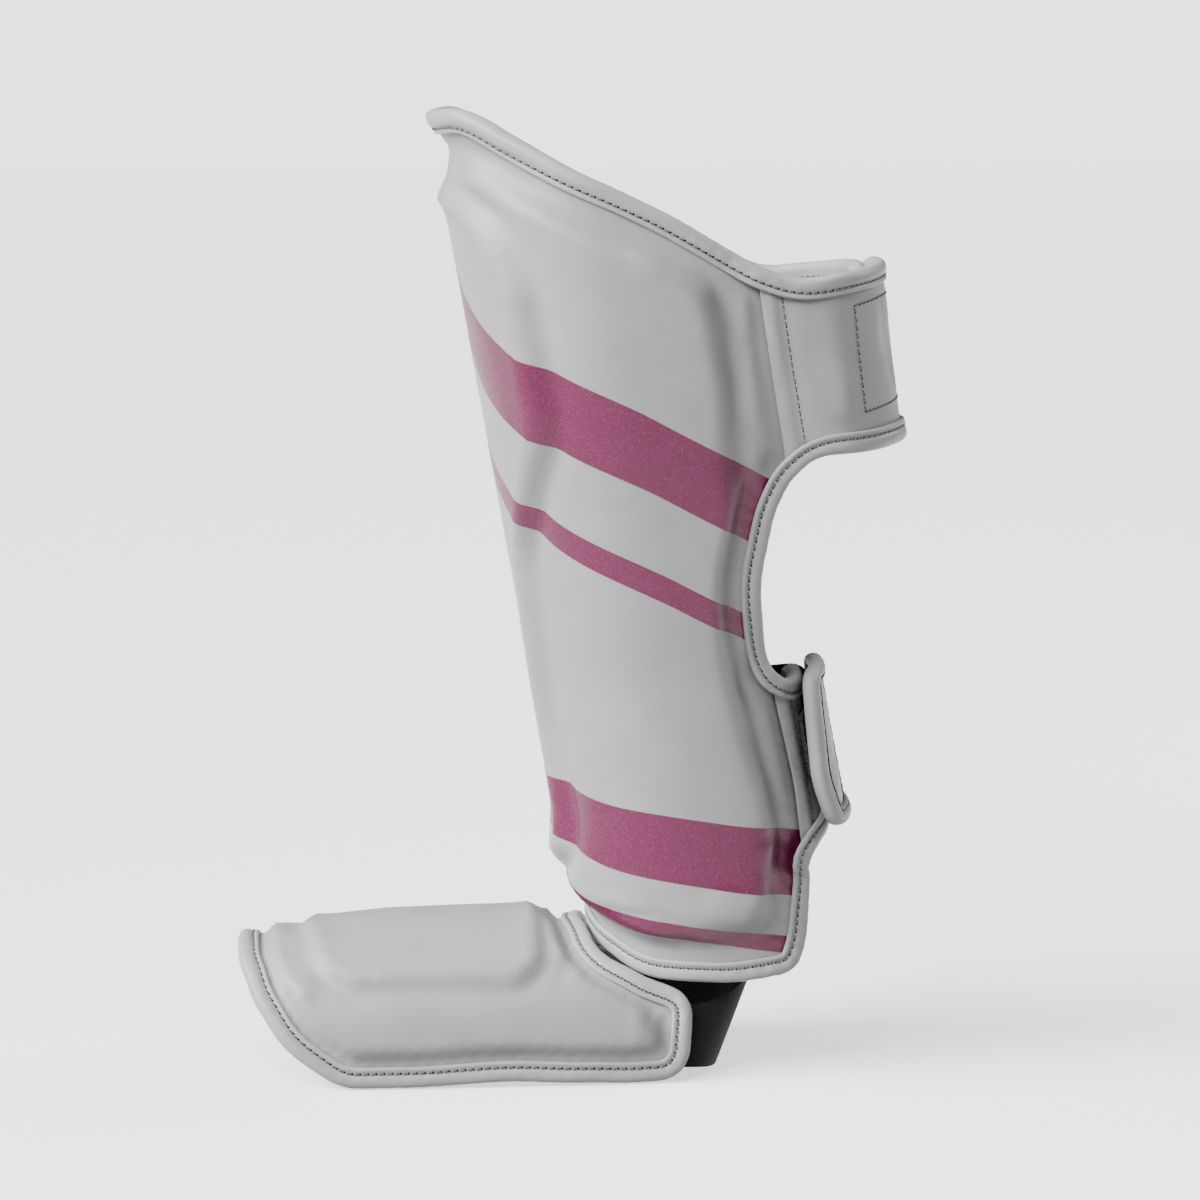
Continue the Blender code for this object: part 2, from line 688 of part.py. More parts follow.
def flap(name, side, strap, lift):
    outline = flap_outline(side, strap)
    taped = stretch(TAPED, f"{side}_{strap}_fold_top", f"{side}_{strap}_fold_low")
    wall(name, LEG, outline, ([], [taped]), lift, lambda f: lift(f) + FLAP, LEATHER, FINE_STEP)


FLAPS = (("near", "calf"), ("far", "calf"), ("near", "ankle"))


def shell_bounds():
    """The shell's own edge, cut off along its margins under the flaps, and its taped lines."""
    stretches = (
        ("near_peak", "near_calf_margin_top"),
        ("near_calf_margin_low", "near_ankle_margin_top"),
        ("near_ankle_margin_low", "far_calf_margin_low"),
    )
    last = CORNERS["far_calf_margin_top"]
    parts = [stretch(EDGE, *ends) for ends in stretches] + [EDGE[last:]]
    outline = [parts[0]]
    for before, after in zip(parts, parts[1:]):
        outline += [seam(before[-1], after[0], STEP), after]
    taped = [stretch(TAPED, *ends) for ends in stretches]
    taped.append(np.concatenate([TAPED[last:], TAPED[:1]]))
    return np.concatenate(outline), taped


def shin_shell():
    """The padded shell: thin margins and wings, the foam block, and the raised pad on it."""
    outline, taped = shell_bounds()
    flaps = [flap_outline(*names) for names in FLAPS]
    foam = mirrored_outline(LEG, SHELL_HEIGHT, FOAM_EDGE, STEP)
    pad = mirrored_outline(LEG, SHELL_HEIGHT, PAD_EDGE, STEP)

    def thickness(flat):
        free = np.min([depth_inside(flat, outline) - GUIDE] +
                      [-depth_inside(flat, f) - LAY for f in flaps], axis=0)
        rise = ease(free / WING_RAMP)
        wing = (WING - MARGIN) * ease(-depth_inside(flat, foam) / WING_RAMP)
        block = (FOAM - MARGIN) * ease(RAMP_START + depth_inside(flat, foam) / FOAM_RAMP)
        raised = PAD_RISE * ease(0.5 + depth_inside(flat, pad) / PAD_BEVEL)
        return MARGIN + rise * (wing + block + raised)

    loops = [foam, inset(foam, FOAM_RAMP)]
    loops += [inset(pad, -0.5 * PAD_BEVEL), inset(pad, 0.5 * PAD_BEVEL)]
    folds = [seam(*fold_ends(*names), STEP) for names in FLAPS]
    wall("shin_shell", LEG, outline, (loops, taped + folds), plain(0.0), thickness, LEATHER)


def edge_heights():
    """Heights between which the tape runs at each point of the bound edge."""
    low = np.zeros(len(EDGE))
    high = np.full(len(EDGE), MARGIN)
    straps = (("near", "calf", lift_near_calf), ("far", "calf", plain(FLAP_LIFT)),
              ("near", "ankle", plain(FLAP_LIFT)))
    for side, strap, lift in straps:
        fold = sorted(CORNERS[f"{side}_{strap}_fold_{end}"] for end in ("top", "low"))
        margin = sorted(CORNERS[f"{side}_{strap}_margin_{end}"] for end in ("top", "low"))
        over = slice(fold[0] - 1, fold[1] + 2)
        past = slice(margin[0] + 2, margin[1] - 1)
        high[over] = lift(EDGE[over]) + FLAP
        for corner in fold:
            high[corner - 1:corner + 2] += FOLD_RISE
        low[past] = lift(EDGE[past])
    return low, high


def edge_binding():
    low, high = edge_heights()
    return tape("edge_binding", LEG, EDGE, low, high, BINDING)


def patch(name, sides, low, thickness, finish, step=FINE_STEP):
    outline = oblong(LEG, SHELL_HEIGHT, sides, step)
    wall(name, LEG, outline, ([], []), low, lambda f: low(f) + thickness, finish, step, 0.0)


def straps():
    """The flaps, the elastic and the tab that close the guard behind the leg."""
    flap("calf_flap_near", "near", "calf", lift_near_calf)
    flap("calf_flap_far", "far", "calf", plain(FLAP_LIFT))
    flap("ankle_flap", "near", "ankle", plain(FLAP_LIFT))
    on_flap = plain(FLAP_LIFT + FLAP + LAY)
    patch("calf_loop_patch", CALF_LOOP, on_flap, PATCH, HOOK_AND_LOOP)
    patch("calf_hook_patch", CALF_HOOK, lambda f: lift_near_calf(f) - LAY - PATCH, PATCH,
          HOOK_AND_LOOP)
    patch("ankle_loop_patch", LOOP, on_flap, PATCH, HOOK_AND_LOOP)
    patch("ankle_elastic", FAR_ELASTIC, lift_elastic, ELASTIC, BLACK_ELASTIC, ELASTIC_STEP)
    tab_low = ELASTIC_LIFT + ELASTIC + TAPE + SNUG + LAY
    patch("ankle_hook_patch", HOOK, plain(tab_low - LAY - PATCH), PATCH, HOOK_AND_LOOP)
    outline = oblong(LEG, SHELL_HEIGHT, TAB, STEP)
    taped = ([outline + inward_steps(LEG, outline) * GUIDE], [])
    wall("ankle_tab", LEG, outline, taped, plain(tab_low), plain(tab_low + FLAP), LEATHER)
    low = np.full(len(outline), tab_low)
    tape("ankle_tab_binding", LEG, outline, low, low + FLAP, BINDING)


def instep_guard():
    outline = mirrored_outline(INSTEP, INSTEP_LENGTH, INSTEP_EDGE, STEP)
    foam = mirrored_outline(INSTEP, INSTEP_LENGTH, INSTEP_FOAM_EDGE, STEP)
    panel = mirrored_outline(INSTEP, INSTEP_LENGTH, INSTEP_PANEL_EDGE, STEP)

    def thickness(flat):
        rise = ease((depth_inside(flat, outline) - GUIDE) / WING_RAMP)
        swell = ease(RAMP_START + depth_inside(flat, foam) / FOAM_RAMP)
        block = (INSTEP_FOAM - MARGIN) * swell
        raised = ease(0.5 + depth_inside(flat, panel) / INSTEP_PANEL_BEVEL)
        return MARGIN + rise * (block + INSTEP_PANEL_RISE * raised)

    taped = outline + inward_steps(INSTEP, outline) * GUIDE
    loops = [taped, foam, inset(foam, WING_RAMP)]
    half_bevel = 0.5 * INSTEP_PANEL_BEVEL
    loops += [inset(panel, -half_bevel), inset(panel, half_bevel)]
    wall("instep_guard", INSTEP, outline, (loops, []), plain(0.0), thickness, LEATHER)
    low = np.zeros(len(outline))
    tape("instep_binding", INSTEP, outline, low, low + MARGIN, BINDING)


def instep_hinge():
    """The hidden strip sewn inside the bottom of the shell, down to the instep guard."""
    inside = -(TAPE + SNUG + LAY + HINGE)
    patch("instep_hinge", HINGE_STRIP, plain(inside), HINGE, LEATHER)


def clear_scene():
    for old in list(bpy.data.objects):
        bpy.data.objects.remove(old)


def main():
    clear_scene()
    shin_shell()
    straps()
    edge_binding()
    instep_guard()
    instep_hinge()
    heel_elastic()


main()
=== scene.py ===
"""Muay thai shin guard: the dressed model, in metres, +Z up, toes towards -Y.

The leather is a smooth synthetic one over foam. Every panel is drawn flat, laid on the surface of a
leg or of an arch over the foot, and given its folds, gathers and seams there.
"""

import math
from functools import partial

import bpy
import numpy as np
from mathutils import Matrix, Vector, noise
from mathutils.geometry import delaunay_2d_cdt


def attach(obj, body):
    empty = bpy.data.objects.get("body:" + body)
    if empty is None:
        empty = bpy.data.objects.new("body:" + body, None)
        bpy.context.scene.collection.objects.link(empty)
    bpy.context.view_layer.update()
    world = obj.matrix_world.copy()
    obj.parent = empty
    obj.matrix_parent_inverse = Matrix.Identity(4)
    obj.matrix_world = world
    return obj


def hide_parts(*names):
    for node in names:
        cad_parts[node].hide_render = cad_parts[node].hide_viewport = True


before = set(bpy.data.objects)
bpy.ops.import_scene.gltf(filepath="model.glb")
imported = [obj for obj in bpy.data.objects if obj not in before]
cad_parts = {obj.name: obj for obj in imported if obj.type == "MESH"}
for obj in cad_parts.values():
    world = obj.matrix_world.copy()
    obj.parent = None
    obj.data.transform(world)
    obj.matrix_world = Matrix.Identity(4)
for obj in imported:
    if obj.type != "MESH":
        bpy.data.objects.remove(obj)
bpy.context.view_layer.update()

# Overall sizes
SHELL_HEIGHT = 0.4085        # from the foot of the leg's axis to the shell's peak, along the axis
LEG_LEAN = math.radians(10.0)
LEG_FOOT_Y = 0.0758          # where the leg's axis meets the foot, behind the origin
LEG_FOOT_Z = 0.0035
LEG_HALF_WIDTH = 0.060       # inside of the shell, at the calf
LEG_FRONT = 0.046            # inside of the shell, from the axis forward
LEG_REAR = 0.0930            # from the axis back to the leg side of the calf flaps
LEG_SQUARENESS = 2.5         # exponent of the leg's section: 2 is an ellipse
INSTEP_LENGTH = 0.1834
INSTEP_TOE_Y = -0.1370
INSTEP_HALF_WIDTH = 0.0465   # inside of the instep guard, at its lower edges
INSTEP_RISE = 0.0530         # inside of the instep guard, above its lower edges
INSTEP_SQUARENESS = 2.3

# Walls
MARGIN = 0.0030              # leather and lining at the edges, where there is no foam
WING = 0.0052                # thin padding between the foam block and the flap
FOAM = 0.0115                # the shell's foam block with its leather
FOAM_RAMP = 0.013
RAMP_START = 0.25            # share of the ramp that is already up at the foam's edge
WING_RAMP = 0.0104           # how far a margin takes to swell into a wing
PAD_RISE = 0.0060            # the raised pad down the middle of the shell
PAD_BEVEL = 0.0085
INSTEP_FOAM = 0.0076
INSTEP_PANEL_RISE = 0.0028
INSTEP_PANEL_BEVEL = 0.0070
FLAP = 0.0022                # folded leather of the flaps and the tab
PATCH = 0.0016               # hook or loop tape
ELASTIC = 0.0016
HINGE = 0.0020

# Edge tape
TAPE = 0.0015
TAPE_SEEN = 0.0068           # its width that shows, from its fold to its sewn-in edge

# Clearances
SNUG = 0.0004                # between a tape and the edge that it wraps
SEWN = 0.0005                # between two pieces that are sewn to each other
LAY = 0.0011                 # between two layers that lie on each other
FOLD_RISE = 0.0006           # how much higher a tape rides where it passes over a flap's fold
GUIDE = TAPE_SEEN + 0.0010   # from an edge to where a wall may start to swell

# Loop of elastic behind the heel
HEEL_STRAP_WIDTH = 0.044
HEEL_LAP = 0.018             # how far each end lies inside its wing
HEEL_DEPTH_LOW = 0.013       # from the wings' ends back to the loop's fold, at its lower edge
HEEL_DEPTH_TOP = 0.030
HEEL_SQUARENESS = 2.3
HEEL_LAP_SHARES = np.array([0.0, 0.25, 0.5, 0.75, 1.0])

# Mesh spacing
STEP = 0.0024
FLAT_BEND = 0.02             # a corner that turns less than this, in radians, stays a point
ARC_BEND = 0.7               # how far an arc turns in one piece, in radians
WALL_SHARP = math.radians(50.0)   # the angle from which an edge of a wall is drawn sharp
TAPE_SHARP = math.radians(60.0)
FUZZ_STEP = 0.0018

# Sections of the leg: height as a share of SHELL_HEIGHT, and half-width, front and rear as
# shares of LEG_HALF_WIDTH, LEG_FRONT and LEG_REAR
LEG_SECTIONS = (
    # height, half_width, front, rear
    (0.00, 0.71, 1.17, 0.45),
    (0.17, 0.71, 1.16, 0.44),
    (0.22, 0.71, 1.12, 0.435),
    (0.29, 0.72, 1.01, 0.42),
    (0.40, 0.75, 1.00, 0.425),
    (0.49, 0.82, 1.00, 0.71),
    (0.60, 0.89, 1.00, 0.97),
    (0.78, 0.99, 1.00, 1.00),
    (0.89, 1.02, 1.01, 1.02),
    (0.94, 1.03, 1.09, 1.03),
    (0.975, 1.04, 1.23, 1.04),
    (1.00, 1.05, 1.30, 1.04),
)

# Edge of the shell with its flaps, from the peak down the near side to the bottom of the front.
# Turn is the share of the half-girth, 0 at the front and 1 at the middle of the back. Heights and
# corner radii are shares of SHELL_HEIGHT.
SIDE_TOP = (
    # name, turn, height, corner radius
    ("peak", 0.000, 0.997, 0.000),
    ("brow", 0.200, 0.997, 0.150),
    ("shoulder", 0.298, 0.944, 0.150),
    ("slope", 0.358, 0.915, 0.490),
    ("rear_slope", 0.500, 0.862, 0.490),
    ("calf_fold_top", 0.650, 0.796, 0.073),
    ("calf_margin_top", 0.715, 0.776, 0.150),
    ("calf_strap_top", 0.850, 0.774, 0.240),
    ("calf_end_top", 1.090, 0.776, 0.034),
    ("calf_end_low", 1.090, 0.600, 0.034),
    ("calf_strap_low", 0.820, 0.605, 0.240),
    ("calf_margin_low", 0.715, 0.611, 0.150),
    ("calf_fold_low", 0.660, 0.592, 0.054),
    ("hollow_top", 0.631, 0.556, 0.150),
    ("hollow", 0.630, 0.492, 0.220),
    ("hollow_low", 0.690, 0.437, 0.240),
)
ANKLE_WITH_FLAP = (
    ("ankle_fold_top", 0.724, 0.395, 0.025),
    ("ankle_margin_top", 0.795, 0.3765, 0.150),
    ("ankle_end_top", 1.100, 0.379, 0.030),
    ("ankle_end_low", 1.100, 0.236, 0.030),
    ("ankle_margin_low", 0.802, 0.2155, 0.075),
    ("ankle_fold_low", 0.748, 0.203, 0.030),
)
ANKLE_PLAIN = (
    ("ankle_top", 0.718, 0.385, 0.200),
    ("ankle_middle", 0.736, 0.300, 0.200),
)
SIDE_LOW = (
    ("heel", 0.762, 0.185, 0.150),
    ("heel_low", 0.708, 0.122, 0.120),
    ("heel_corner", 0.668, 0.097, 0.045),
    ("bottom", 0.500, 0.099, 0.200),
    ("bottom_front", 0.270, 0.117, 0.150),
    ("arch", 0.170, 0.141, 0.120),
    ("arch_middle", 0.000, 0.167, 0.100),
)

# The shell's foam block and its raised pad, near half, from the top of the front to the bottom
FOAM_EDGE = (
    # turn, height, corner radius
    (0.000, 0.964, 0.000),
    (0.180, 0.962, 0.120),
    (0.262, 0.920, 0.120),
    (0.345, 0.884, 0.300),
    (0.460, 0.838, 0.100),
    (0.522, 0.790, 0.150),
    (0.530, 0.700, 0.200),
    (0.522, 0.620, 0.200),
    (0.560, 0.550, 0.150),
    (0.578, 0.490, 0.200),
    (0.630, 0.420, 0.200),
    (0.660, 0.340, 0.200),
    (0.690, 0.230, 0.120),
    (0.650, 0.143, 0.055),
    (0.500, 0.134, 0.150),
    (0.300, 0.146, 0.100),
    (0.180, 0.168, 0.100),
    (0.000, 0.190, 0.100),
)
PAD_EDGE = (
    (0.000, 0.934, 0.000),
    (0.130, 0.922, 0.075),
    (0.220, 0.878, 0.075),
    (0.249, 0.820, 0.120),
    (0.247, 0.680, 0.100),
    (0.120, 0.550, 0.150),
    (0.070, 0.380, 0.250),
    (0.096, 0.236, 0.030),
    (0.000, 0.224, 0.000),
)

# Sections of the instep guard: place along it as a share of INSTEP_LENGTH from the toes, and
# half-width and rise as shares of INSTEP_HALF_WIDTH and INSTEP_RISE
INSTEP_SECTIONS = (
    # along, half_width, rise
    (0.00, 0.99, 0.90),
    (0.14, 1.02, 0.905),
    (0.36, 1.03, 0.96),
    (0.72, 1.01, 1.00),
    (0.84, 0.99, 1.035),
    (1.00, 0.97, 1.00),
)
# Edge of the instep guard, near half, from the middle of the toes to the middle of the ankle
INSTEP_EDGE = (
    # turn, along, corner radius (shares of INSTEP_LENGTH)
    (0.000, 0.000, 0.000),
    (0.280, 0.004, 0.160),
    (0.540, 0.034, 0.220),
    (0.800, 0.100, 0.250),
    (1.000, 0.225, 0.140),
    (1.000, 0.390, 1.100),
    (0.972, 0.600, 1.100),
    (1.000, 0.850, 0.330),
    (0.985, 0.985, 0.100),
    (0.595, 1.000, 0.065),
    (0.520, 0.900, 0.110),
    (0.390, 0.790, 0.160),
    (0.000, 0.762, 0.110),
)
INSTEP_FOAM_EDGE = (
    (0.000, 0.066, 0.000),
    (0.280, 0.070, 0.110),
    (0.580, 0.112, 0.160),
    (0.880, 0.226, 0.130),
    (0.890, 0.820, 0.087),
    (0.820, 0.905, 0.076),
    (0.680, 0.880, 0.087),
    (0.500, 0.728, 0.110),
    (0.000, 0.704, 0.110),
)
INSTEP_PANEL_EDGE = (
    (0.000, 0.140, 0.000),
    (0.440, 0.175, 0.076),
    (0.530, 0.250, 0.076),
    (0.540, 0.620, 0.076),
    (0.450, 0.668, 0.076),
    (0.000, 0.674, 0.000),
)

# Tab, elastic, patches and hinge: first and last turn, top and lower height as shares of
# SHELL_HEIGHT
FAR_ELASTIC = (-0.640, -1.010, 0.376, 0.262)
TAB = (-0.930, -1.190, 0.386, 0.228)
HOOK = (-1.030, -1.110, 0.345, 0.270)
LOOP = (0.820, 1.035, 0.346, 0.272)
CALF_HOOK = (0.815, 1.040, 0.745, 0.640)
CALF_LOOP = (-0.860, -1.030, 0.745, 0.640)
HINGE_STRIP = (-0.240, 0.240, 0.225, 0.142)
CROSSING = (0.660, 0.780)    # turns between which the near calf flap rises over the far one
PASSING = (0.750, 0.865)     # turns between which the elastic comes out over the ankle flap
HEEL_WING_LOW = 0.960        # turns of the instep guard between which the heel strap is sewn
HEEL_WING_TOP = 0.620
CORNER = 0.006

# Heights of each layer above the leg, where the flaps cross behind it
FLAP_LIFT = MARGIN + LAY
LAYER = max(2.0 * (TAPE + SNUG) + LAY, 2.0 * PATCH + 3.0 * LAY)
CROSSING_LIFT = FLAP_LIFT + FLAP + LAYER
ELASTIC_LIFT = FLAP_LIFT + FLAP + TAPE + SNUG + LAY
TAB_LIFT = ELASTIC_LIFT + ELASTIC + TAPE + SNUG + LAY
EDGE_Z = TAPE + SNUG         # lower edge of the instep guard, above the tape under it


def curve_through(rows, column, at):
    """Values of a table's column at given places, on a smooth curve that never overshoots."""
    table = np.array(rows, dtype=float)
    xs, ys = table[:, 0], table[:, column]
    slopes = np.diff(ys) / np.diff(xs)
    tangents = np.zeros(len(xs))
    for i in range(1, len(xs) - 1):
        if slopes[i - 1] * slopes[i] > 0:
            tangents[i] = 2 * slopes[i - 1] * slopes[i] / (slopes[i - 1] + slopes[i])
    at = np.clip(at, xs[0], xs[-1])
    i = np.clip(np.searchsorted(xs, at) - 1, 0, len(xs) - 2)
    width = xs[i + 1] - xs[i]
    t = (at - xs[i]) / width
    return (
        ys[i] * (1 + 2 * t) * (1 - t) ** 2
        + ys[i + 1] * t * t * (3 - 2 * t)
        + tangents[i] * width * t * (1 - t) ** 2
        - tangents[i + 1] * width * t * t * (1 - t)
    )


def ease(share):
    """A smooth rise from 0 to 1."""
    share = np.clip(share, 0.0, 1.0)
    return share * share * (3.0 - 2.0 * share)


class Surface:
    """A surface swept along one direction, known by a grid of points at even turns."""

    def __init__(self, places, turns, points, girths):
        """Places run along the sweep, turns across it, and each place has a girth."""
        self.places, self.turns, self.points, self.girths = places, turns, points, girths

    def girth(self, place):
        """Length of the half section at a place."""
        return np.interp(place, self.places, self.girths)

    def flat(self, turn, place):
        """The point of the flat drawing for a turn and a place along the surface."""
        return np.stack([turn * self.girth(place), np.broadcast_to(place, np.shape(turn))], -1)

    def base(self, flat):
        """Points on the surface itself."""
        place = flat[:, 1]
        turn = flat[:, 0] / self.girth(place)
        i = (place - self.places[0]) / (self.places[1] - self.places[0])
        j = (turn - self.turns[0]) / (self.turns[1] - self.turns[0])
        i0 = np.clip(i.astype(int), 0, len(self.places) - 2)
        j0 = np.clip(j.astype(int), 0, len(self.turns) - 2)
        a, b = (i - i0)[:, None], (j - j0)[:, None]
        grid = self.points
        low = grid[i0, j0] * (1 - b) + grid[i0, j0 + 1] * b
        high = grid[i0 + 1, j0] * (1 - b) + grid[i0 + 1, j0 + 1] * b
        return low * (1 - a) + high * a

    def slopes(self, flat):
        """How the surface moves for each metre across and along the flat drawing."""
        step = 0.002
        across = self.base(flat + (step, 0)) - self.base(flat - (step, 0))
        along = self.base(flat + (0, step)) - self.base(flat - (0, step))
        return across / (2 * step), along / (2 * step)

    def place(self, flat, offset):
        """Points at a height above the surface."""
        across, along = self.slopes(flat)
        normal = np.cross(across, along)
        normal /= np.linalg.norm(normal, axis=1)[:, None]
        return self.base(flat) + normal * np.broadcast_to(offset, len(flat))[:, None]


def even_turns(section, turns):
    """Points at even turns along a half section given as a fine line, with its girth."""
    lengths = np.concatenate([[0], np.cumsum(np.linalg.norm(np.diff(section, axis=0), axis=1))])
    wanted = turns * lengths[-1]
    return np.stack([np.interp(wanted, lengths, column) for column in section.T], 1), lengths[-1]


def superellipse(angles, squareness):
    """Points round the upper half of an oval, as shares of its half-widths."""
    power = 2.0 / squareness
    cosine, sine = np.cos(angles), np.sin(angles)
    return np.sign(cosine) * np.abs(cosine) ** power, np.abs(sine) ** power


def leg_surface():
    """The surface of the leg, closed behind, with turns past the middle of the back."""
    heights = np.linspace(0.0, 1.06, 319) * SHELL_HEIGHT
    turns = np.linspace(0.0, 1.0, 241)
    forward, across = superellipse(np.linspace(0.0, math.pi, 721), LEG_SQUARENESS)
    up = np.array([0.0, -math.sin(LEG_LEAN), math.cos(LEG_LEAN)])
    front = np.array([0.0, -math.cos(LEG_LEAN), -math.sin(LEG_LEAN)])
    foot = np.array([0.0, LEG_FOOT_Y, LEG_FOOT_Z])
    all_turns = np.linspace(-1.25, 1.25, 601)
    grid, girths = [], []
    for height in heights:
        share = height / SHELL_HEIGHT
        width = LEG_HALF_WIDTH * curve_through(LEG_SECTIONS, 1, share)
        front_depth = LEG_FRONT * curve_through(LEG_SECTIONS, 2, share)
        rear_depth = LEG_REAR * curve_through(LEG_SECTIONS, 3, share)
        depth = np.where(forward > 0, front_depth, rear_depth) * forward
        half, girth = even_turns(np.stack([width * across, depth], 1), turns)
        folded = 1.0 - np.abs(1.0 - np.abs(all_turns))
        side = np.sign(all_turns) * np.sign(1.0 - np.abs(all_turns) + 1e-12)
        x = np.interp(folded, turns, half[:, 0]) * side
        p = np.interp(folded, turns, half[:, 1])
        grid.append(foot + height * up + p[:, None] * front + x[:, None] * np.array([1.0, 0, 0]))
        girths.append(girth)
    return Surface(heights, all_turns, np.array(grid), np.array(girths))


def instep_surface():
    """The arch over the foot, straight down past its lower edges."""
    shares = np.linspace(-0.05, 1.05, 221)
    turns = np.linspace(0.0, 1.0, 121)
    rise, across = superellipse(np.linspace(0.0, math.pi / 2, 361), INSTEP_SQUARENESS)
    all_turns = np.linspace(-1.15, 1.15, 553)
    grid, girths = [], []
    for share in shares:
        width = INSTEP_HALF_WIDTH * curve_through(INSTEP_SECTIONS, 1, share)
        height = INSTEP_RISE * curve_through(INSTEP_SECTIONS, 2, share)
        half, girth = even_turns(np.stack([width * across, height * rise], 1), turns)
        inside = np.minimum(np.abs(all_turns), 1.0)
        beyond = np.abs(all_turns) - inside
        x = np.interp(inside, turns, half[:, 0]) * np.sign(all_turns)
        z = EDGE_Z + np.interp(inside, turns, half[:, 1]) - beyond * girth
        y = np.full(len(x), INSTEP_TOE_Y + share * INSTEP_LENGTH)
        grid.append(np.stack([x, y, z], 1))
        girths.append(girth)
    return Surface(shares * INSTEP_LENGTH, all_turns, np.array(grid), np.array(girths))


LEG = leg_surface()
INSTEP = instep_surface()


def between(last, first, step):
    """Evenly spaced points on the straight way from one point to the next."""
    gap = first - last
    pieces = max(1, round(gap.length / step))
    return [last + gap * (k / pieces) for k in range(1, pieces)]


def rounded(corners, radii, step):
    """A closed line, its corners turned as arcs, and the number of the point at each."""
    corners = [Vector(c) for c in corners]
    points, marks = [], []
    count = len(corners)
    for i, corner in enumerate(corners):
        before, after = corners[i - 1], corners[(i + 1) % count]
        into, out = corner - before, after - corner
        bend = into.angle(out, 0.0)
        if radii[i] <= 0 or bend < FLAT_BEND:
            arc = [corner]
        else:
            room = 0.48 * min(into.length, out.length)
            cut = min(radii[i] * math.tan(bend / 2), room)
            start = corner - into.normalized() * cut
            finish = corner + out.normalized() * cut
            pieces = 2 * max(1, round(max(bend / ARC_BEND, 2 * cut / step) / 2))
            arc = []
            for k in range(pieces + 1):
                t = k / pieces
                arc.append(start * (1 - t) ** 2 + corner * 2 * t * (1 - t) + finish * t * t)
        if points:
            points += between(points[-1], arc[0], step)
        marks.append(len(points) + len(arc) // 2)
        points += arc
    points += between(points[-1], points[0], step)
    return np.array([tuple(p) for p in points]), marks


def mirrored_outline(surface, length, rows):
    """A closed line from the rows of its near half, which start and end on the middle."""
    far = [(-turn, share, radius) for turn, share, radius in reversed(rows) if turn > 0]
    table = np.array(list(rows) + far)
    corners = surface.flat(table[:, 0], table[:, 1] * length)
    return rounded(corners, table[:, 2] * length, STEP)[0]


def oblong(surface, length, sides, step):
    """A closed line round an oblong between two turns and two heights."""
    start, end, top, low = sides
    turns = np.array([start, end, end, start])
    shares = np.array([top, top, low, low])
    return rounded(surface.flat(turns, shares * length), [CORNER] * 4, step)[0]


def double_area(line):
    """Twice the area inside a closed flat line, above zero where it turns left."""
    x, y = line[:, 0], line[:, 1]
    return np.sum(x * np.roll(y, -1) - np.roll(x, -1) * y)


def inward_normals(line):
    """Unit vectors to the inner side of a closed flat line."""
    ahead = np.roll(line, -1, axis=0) - np.roll(line, 1, axis=0)
    normal = np.stack([-ahead[:, 1], ahead[:, 0]], 1)
    normal /= np.linalg.norm(normal, axis=1)[:, None]
    return normal if double_area(line) > 0 else -normal


def inset(line, distance):
    """A closed line moved to its inner side."""
    return line + inward_normals(line) * distance


def depth_inside(points, line):
    """Distance of points from a closed flat line, above zero inside it."""
    start, end = line, np.roll(line, -1, axis=0)
    edge = end - start
    lengths = np.maximum(np.sum(edge * edge, 1), 1e-18)
    offset = points[:, None, :] - start[None]
    t = np.clip(np.sum(offset * edge[None], 2) / lengths, 0, 1)
    distance = np.linalg.norm(offset - t[..., None] * edge[None], axis=2).min(1)
    y0, y1 = start[:, 1][None], end[:, 1][None]
    crosses = (y0 > points[:, 1:2]) != (y1 > points[:, 1:2])
    rise = np.where(y1 == y0, 1.0, y1 - y0)
    at = start[:, 0][None] + (points[:, 1:2] - y0) / rise * edge[:, 0][None]
    inside = np.sum(crosses & (points[:, 0:1] < at), 1) % 2 == 1
    return np.where(inside, distance, -distance)


def boundary_edges(faces):
    """Edges that belong to one face only, in the direction of that face."""
    edges = {(f[k], f[(k + 1) % len(f)]) for f in faces for k in range(len(f))}
    return [(a, b) for a, b in edges if (b, a) not in edges]


def inward_steps(surface, line):
    """The flat step at each point of a closed line for each real metre straight inwards."""
    across, along = surface.slopes(line)
    flat_in = inward_normals(line)
    tangent = surface.base(np.roll(line, -1, 0)) - surface.base(np.roll(line, 1, 0))
    tangent /= np.linalg.norm(tangent, axis=1)[:, None]
    inward = across * flat_in[:, :1] + along * flat_in[:, 1:]
    inward -= tangent * np.sum(inward * tangent, 1)[:, None]
    inward /= np.linalg.norm(inward, axis=1)[:, None]
    aa, ab, bb = (np.sum(p * q, 1) for p, q in ((across, across), (across, along), (along, along)))
    ga, gb = np.sum(inward * across, 1), np.sum(inward * along, 1)
    determinant = aa * bb - ab * ab
    return np.stack([(ga * bb - gb * ab) / determinant, (gb * aa - ga * ab) / determinant], 1)


def side_rows(ankle, sign):
    """Named corners of one side of the bound edge, near side with 1 and far side with -1."""
    rows = SIDE_TOP + ankle + SIDE_LOW
    return [(name, sign * turn, height, radius) for name, turn, height, radius in rows]


def guard_edge():
    """The whole bound edge of the shell with its flaps, and the point at each named corner."""
    near = side_rows(ANKLE_WITH_FLAP, 1)
    far = side_rows(ANKLE_PLAIN, -1)[1:-1]
    rows = [("near_" + r[0], *r[1:]) for r in near]
    rows += [("far_" + r[0], *r[1:]) for r in reversed(far)]
    turns, heights, radii = np.array([r[1:] for r in rows]).T
    corners = LEG.flat(turns, heights * SHELL_HEIGHT)
    line, marks = rounded(corners, radii * SHELL_HEIGHT, STEP)
    return line, {r[0]: mark for r, mark in zip(rows, marks)}


EDGE, CORNERS = guard_edge()


def stretch(start, end):
    """Points of the bound edge from one named corner to another."""
    a, b = sorted((CORNERS[start], CORNERS[end]))
    return EDGE[a:b + 1]


